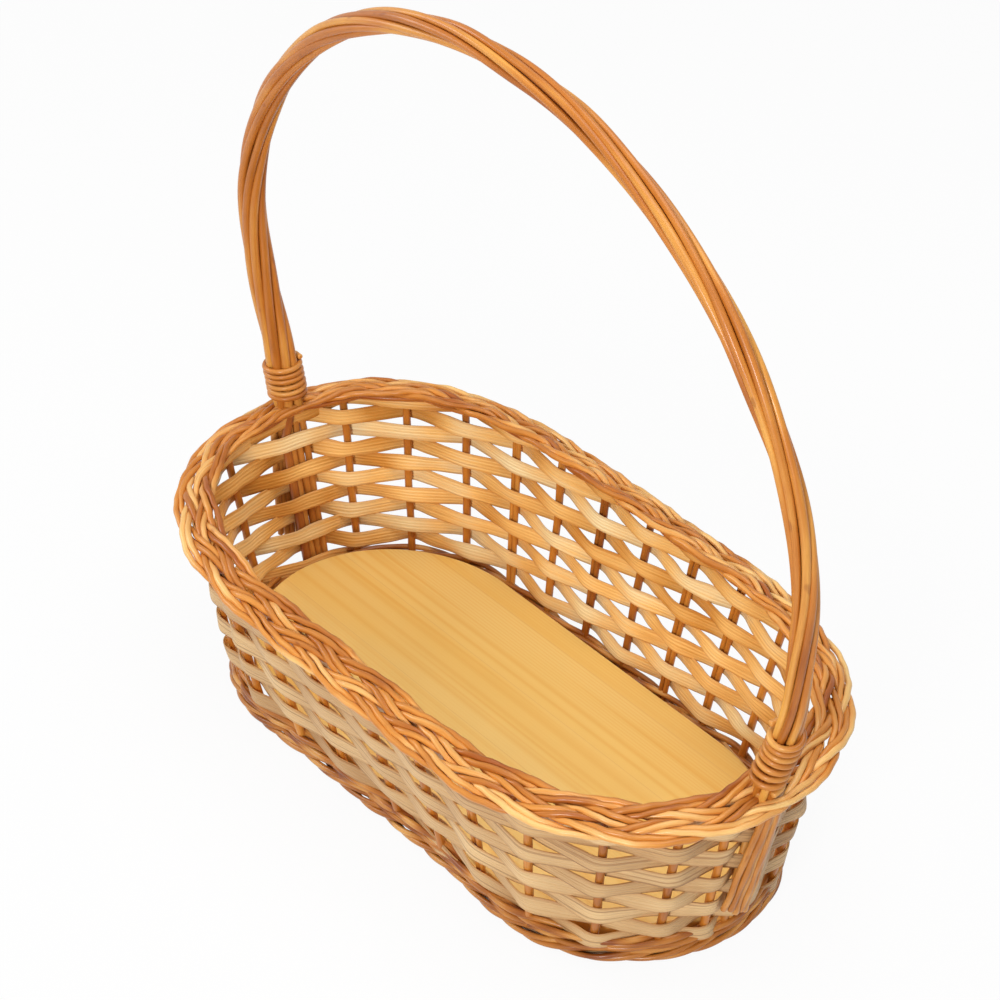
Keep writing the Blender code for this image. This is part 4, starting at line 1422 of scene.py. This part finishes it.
@dataclass
class LegRods:
    """The rods that run down into the weave beside each leg, and the spread ends outside it."""

    wall: WallForm
    radius: float = 0.0021
    fan_rods: int = 5
    fan_offset: float = 0.0068
    fan_top: tuple[float, float] = (-0.0070, 0.0018)
    fan_foot: tuple[float, float] = (-0.0175, -0.0015)
    fan_ends: tuple[float, float] = (0.038, 0.024)
    right_places: tuple[float, ...] = (-0.0048, 0.0048, 0.0085)
    left_places: tuple[float, ...] = (-0.0015, 0.0030, 0.0074)
    inner_girth: float = 1.1
    hidden_length: float = 0.012
    girth_height: float = 0.07
    sections: int = 24
    fan_sections: int = 40
    sides: int = 12

    def build(self) -> None:
        """Shapes and dresses the inner rods and the fans."""
        finish = WillowFinish((0.32, 0.090, 0.008), (0.54, 0.205, 0.035), (0.78, 0.43, 0.12)).material("leg_willow")
        for leg in Leg:
            side = leg.name.lower()
            nodes = (f"leg_rod_{side}_a1", f"leg_rod_{side}_b1")
            new_piece(f"inner_leg_rods_{side}", self.inner(leg), Slot.PEELED, finish, *nodes)
            new_piece(f"spread_leg_fan_{side}", self.fan(leg), Slot.PEELED, finish, f"leg_fan_{side}")

    def inner(self, leg: Leg) -> Surface:
        """Rods straight down the wall beside the core, which stands at one side on the left leg."""
        low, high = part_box("leg_rod_right_a1")
        height = np.linspace(low.z, high.z + self.hidden_length, self.sections)
        up = np.linspace(0, 1, self.sections)
        parts = []
        for number, place in enumerate(self.right_places if leg is Leg.RIGHT else self.left_places):
            seed = 90 + number + 5 * leg.side
            aside = -place + 0.0002 * ripple(up, seed, 0, 2)
            share = leg.value + aside / self.wall.girth(self.girth_height)
            path = self.wall.points(share, height)
            _, normal = self.wall.read(np.full(self.sections, leg.value), height)
            outward = level_directions(normal)
            radius = self.radius * (self.inner_girth + 0.03 * ripple(up, seed + 9, 1, 3))
            parts.append(swept(path, outward, radius, self.sides, 0.5 + 0.1 * ripple(up, seed, 0, 3), seed))
        return Surface.joined(parts)

    def fan(self, leg: Leg) -> Surface:
        """Rod ends that leave the rim together and spread down the outside of the wall.

        Formula: each rod's distance aside grows evenly from its place at the rim to its place in
        the fan, and its lower end stops a little higher than its neighbour's.
        """
        _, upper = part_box(f"leg_fan_{leg.name.lower()}")
        parts = []
        for number in range(self.fan_rods):
            seed = 120 + number + 10 * leg.side
            noise = np.random.default_rng(seed).uniform(-1, 1, 4)
            place = number / (self.fan_rods - 1)
            end = self.fan_ends[0] + place * (self.fan_ends[1] - self.fan_ends[0]) + 0.002 * noise[0]
            height = np.linspace(upper.z + 0.004, end, self.fan_sections)
            gone = np.linspace(0, 1, self.fan_sections)
            start, foot = (low + place * (high - low) for low, high in (self.fan_top, self.fan_foot))
            aside = leg.side * (start + (foot - start) * gone) + 0.0006 * noise[1] * gone
            share = leg.value + aside / self.wall.girth(self.girth_height)
            out = self.fan_offset + 0.0017 * (number % 2) * (1 - 0.6 * gone) + 0.0003 * ripple(gone, seed, 0, 3)
            path = self.wall.points(share, height, out)
            _, normal = self.wall.read(share, height)
            outward = level_directions(normal)
            radius = self.radius * (1 + 0.06 * noise[2]) * (1.02 - 0.12 * gone)
            tone = 0.50 + 0.2 * noise[3] + 0.06 * ripple(gone, seed, 1, 4)
            parts.append(swept(path, outward, radius, self.sides, tone, seed))
        return Surface.joined(parts)


@dataclass(frozen=True)
class Lamp:
    """A soft square lamp that points at the basket."""

    name: str
    place: tuple[float, float, float]
    size: float
    power: float

    def hang(self, target: Array) -> None:
        """Hangs the lamp, aimed at a target."""
        lamp = bpy.data.lights.new(self.name, "AREA")
        lamp.size = self.size
        lamp.energy = self.power
        aim = unit(target - np.array(self.place))
        side = unit(np.cross(aim, UP + 1e-3 * ACROSS))
        placed(self.name, lamp, np.column_stack([side, np.cross(side, aim), -aim, self.place]))


@dataclass
class Studio:
    """The floor, the lamps, the white surroundings and the photograph's camera."""

    azimuth: float = 50.39
    elevation: float = 37.34
    roll: float = -0.74
    distance: float = 1.6287
    pixels_per_metre: float = 1780.85
    target_height: float = 0.171
    shift_right: float = 0.00097
    shift_up: float = 0.0123
    frame_pixels: int = 1000
    sensor: float = 36.0
    fill: float = 0.26
    floor_size: float = 6.0
    floor_level: float = -0.0002
    lamp_target: float = 0.12
    hung: tuple[Lamp, ...] = (
        Lamp("overhead", (0.25, 0.15, 1.6), 1.3, 15.5),
        Lamp("front", (1.0, -1.7, 1.0), 0.45, 26.0),
        Lamp("side", (-1.4, -0.7, 0.9), 0.6, 7.5),
    )

    def build(self) -> None:
        """Sets up all of it."""
        self.camera()
        self.floor()
        self.surroundings()
        self.lamps()
        bpy.context.scene.view_settings.view_transform = "Standard"

    def camera(self) -> None:
        """Places the camera at the photograph's angle, without shift or depth of field."""
        azimuth, elevation, roll = (math.radians(v) for v in (self.azimuth, self.elevation, self.roll))
        back = np.array(
            [
                math.sin(azimuth) * math.cos(elevation),
                -math.cos(azimuth) * math.cos(elevation),
                math.sin(elevation),
            ]
        )
        level = np.array([math.cos(azimuth), math.sin(azimuth), 0.0])
        upright = np.cross(back, level)
        right = math.cos(roll) * level + math.sin(roll) * upright
        up = -math.sin(roll) * level + math.cos(roll) * upright
        target = UP * self.target_height + self.shift_right * right + self.shift_up * up
        lens = bpy.data.cameras.new("camera")
        lens.sensor_width = self.sensor
        lens.lens = self.pixels_per_metre * self.distance / self.frame_pixels * self.sensor
        camera = placed("camera", lens, np.column_stack([right, up, back, target + self.distance * back]))
        bpy.context.scene.camera = camera

    def floor(self) -> None:
        """Lays the pale floor."""
        mesh = bpy.data.meshes.new("floor")
        size = self.floor_size
        signs = ((-1, -1), (1, -1), (1, 1), (-1, 1))
        corners = [(x * size, y * size, self.floor_level) for x, y in signs]
        mesh.from_pydata(corners, [], [(0, 1, 2, 3)])
        floor = linked("floor", mesh)
        mesh.materials.append(FloorFinish().material("paper"))

    def surroundings(self) -> None:
        """White where the camera and reflections look, softer where it lights the basket."""
        world = bpy.data.worlds.new("studio")
        bpy.context.scene.world = world
        graph = Graph(world)
        graph.finish(Color=(1.0, 1.0, 1.0), Strength=self.fill)
        graph.show_white(graph.node("ShaderNodeBackground", {}, {"Strength": 1.0}))

    def lamps(self) -> None:
        """Hangs a soft lamp overhead, one by the camera and a weak one on the left."""
        for lamp in self.hung:
            lamp.hang(UP * self.lamp_target)


def main() -> None:
    """Builds the basket's looks, from the foot up, then the studio."""
    logging.basicConfig(level=logging.INFO, format="%(name)s: %(message)s")
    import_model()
    wall, plan = WallForm(), StakePlan()
    RopedFoot(wall).build()
    Board(wall).build()
    Stakes(wall, plan).build()
    SplintWeave(wall, plan).build()
    PlaitedRim(wall).build()
    BowHandle(wall).build()
    LegRods(wall).build()
    Studio().build()


if __name__ == "__main__":
    main()
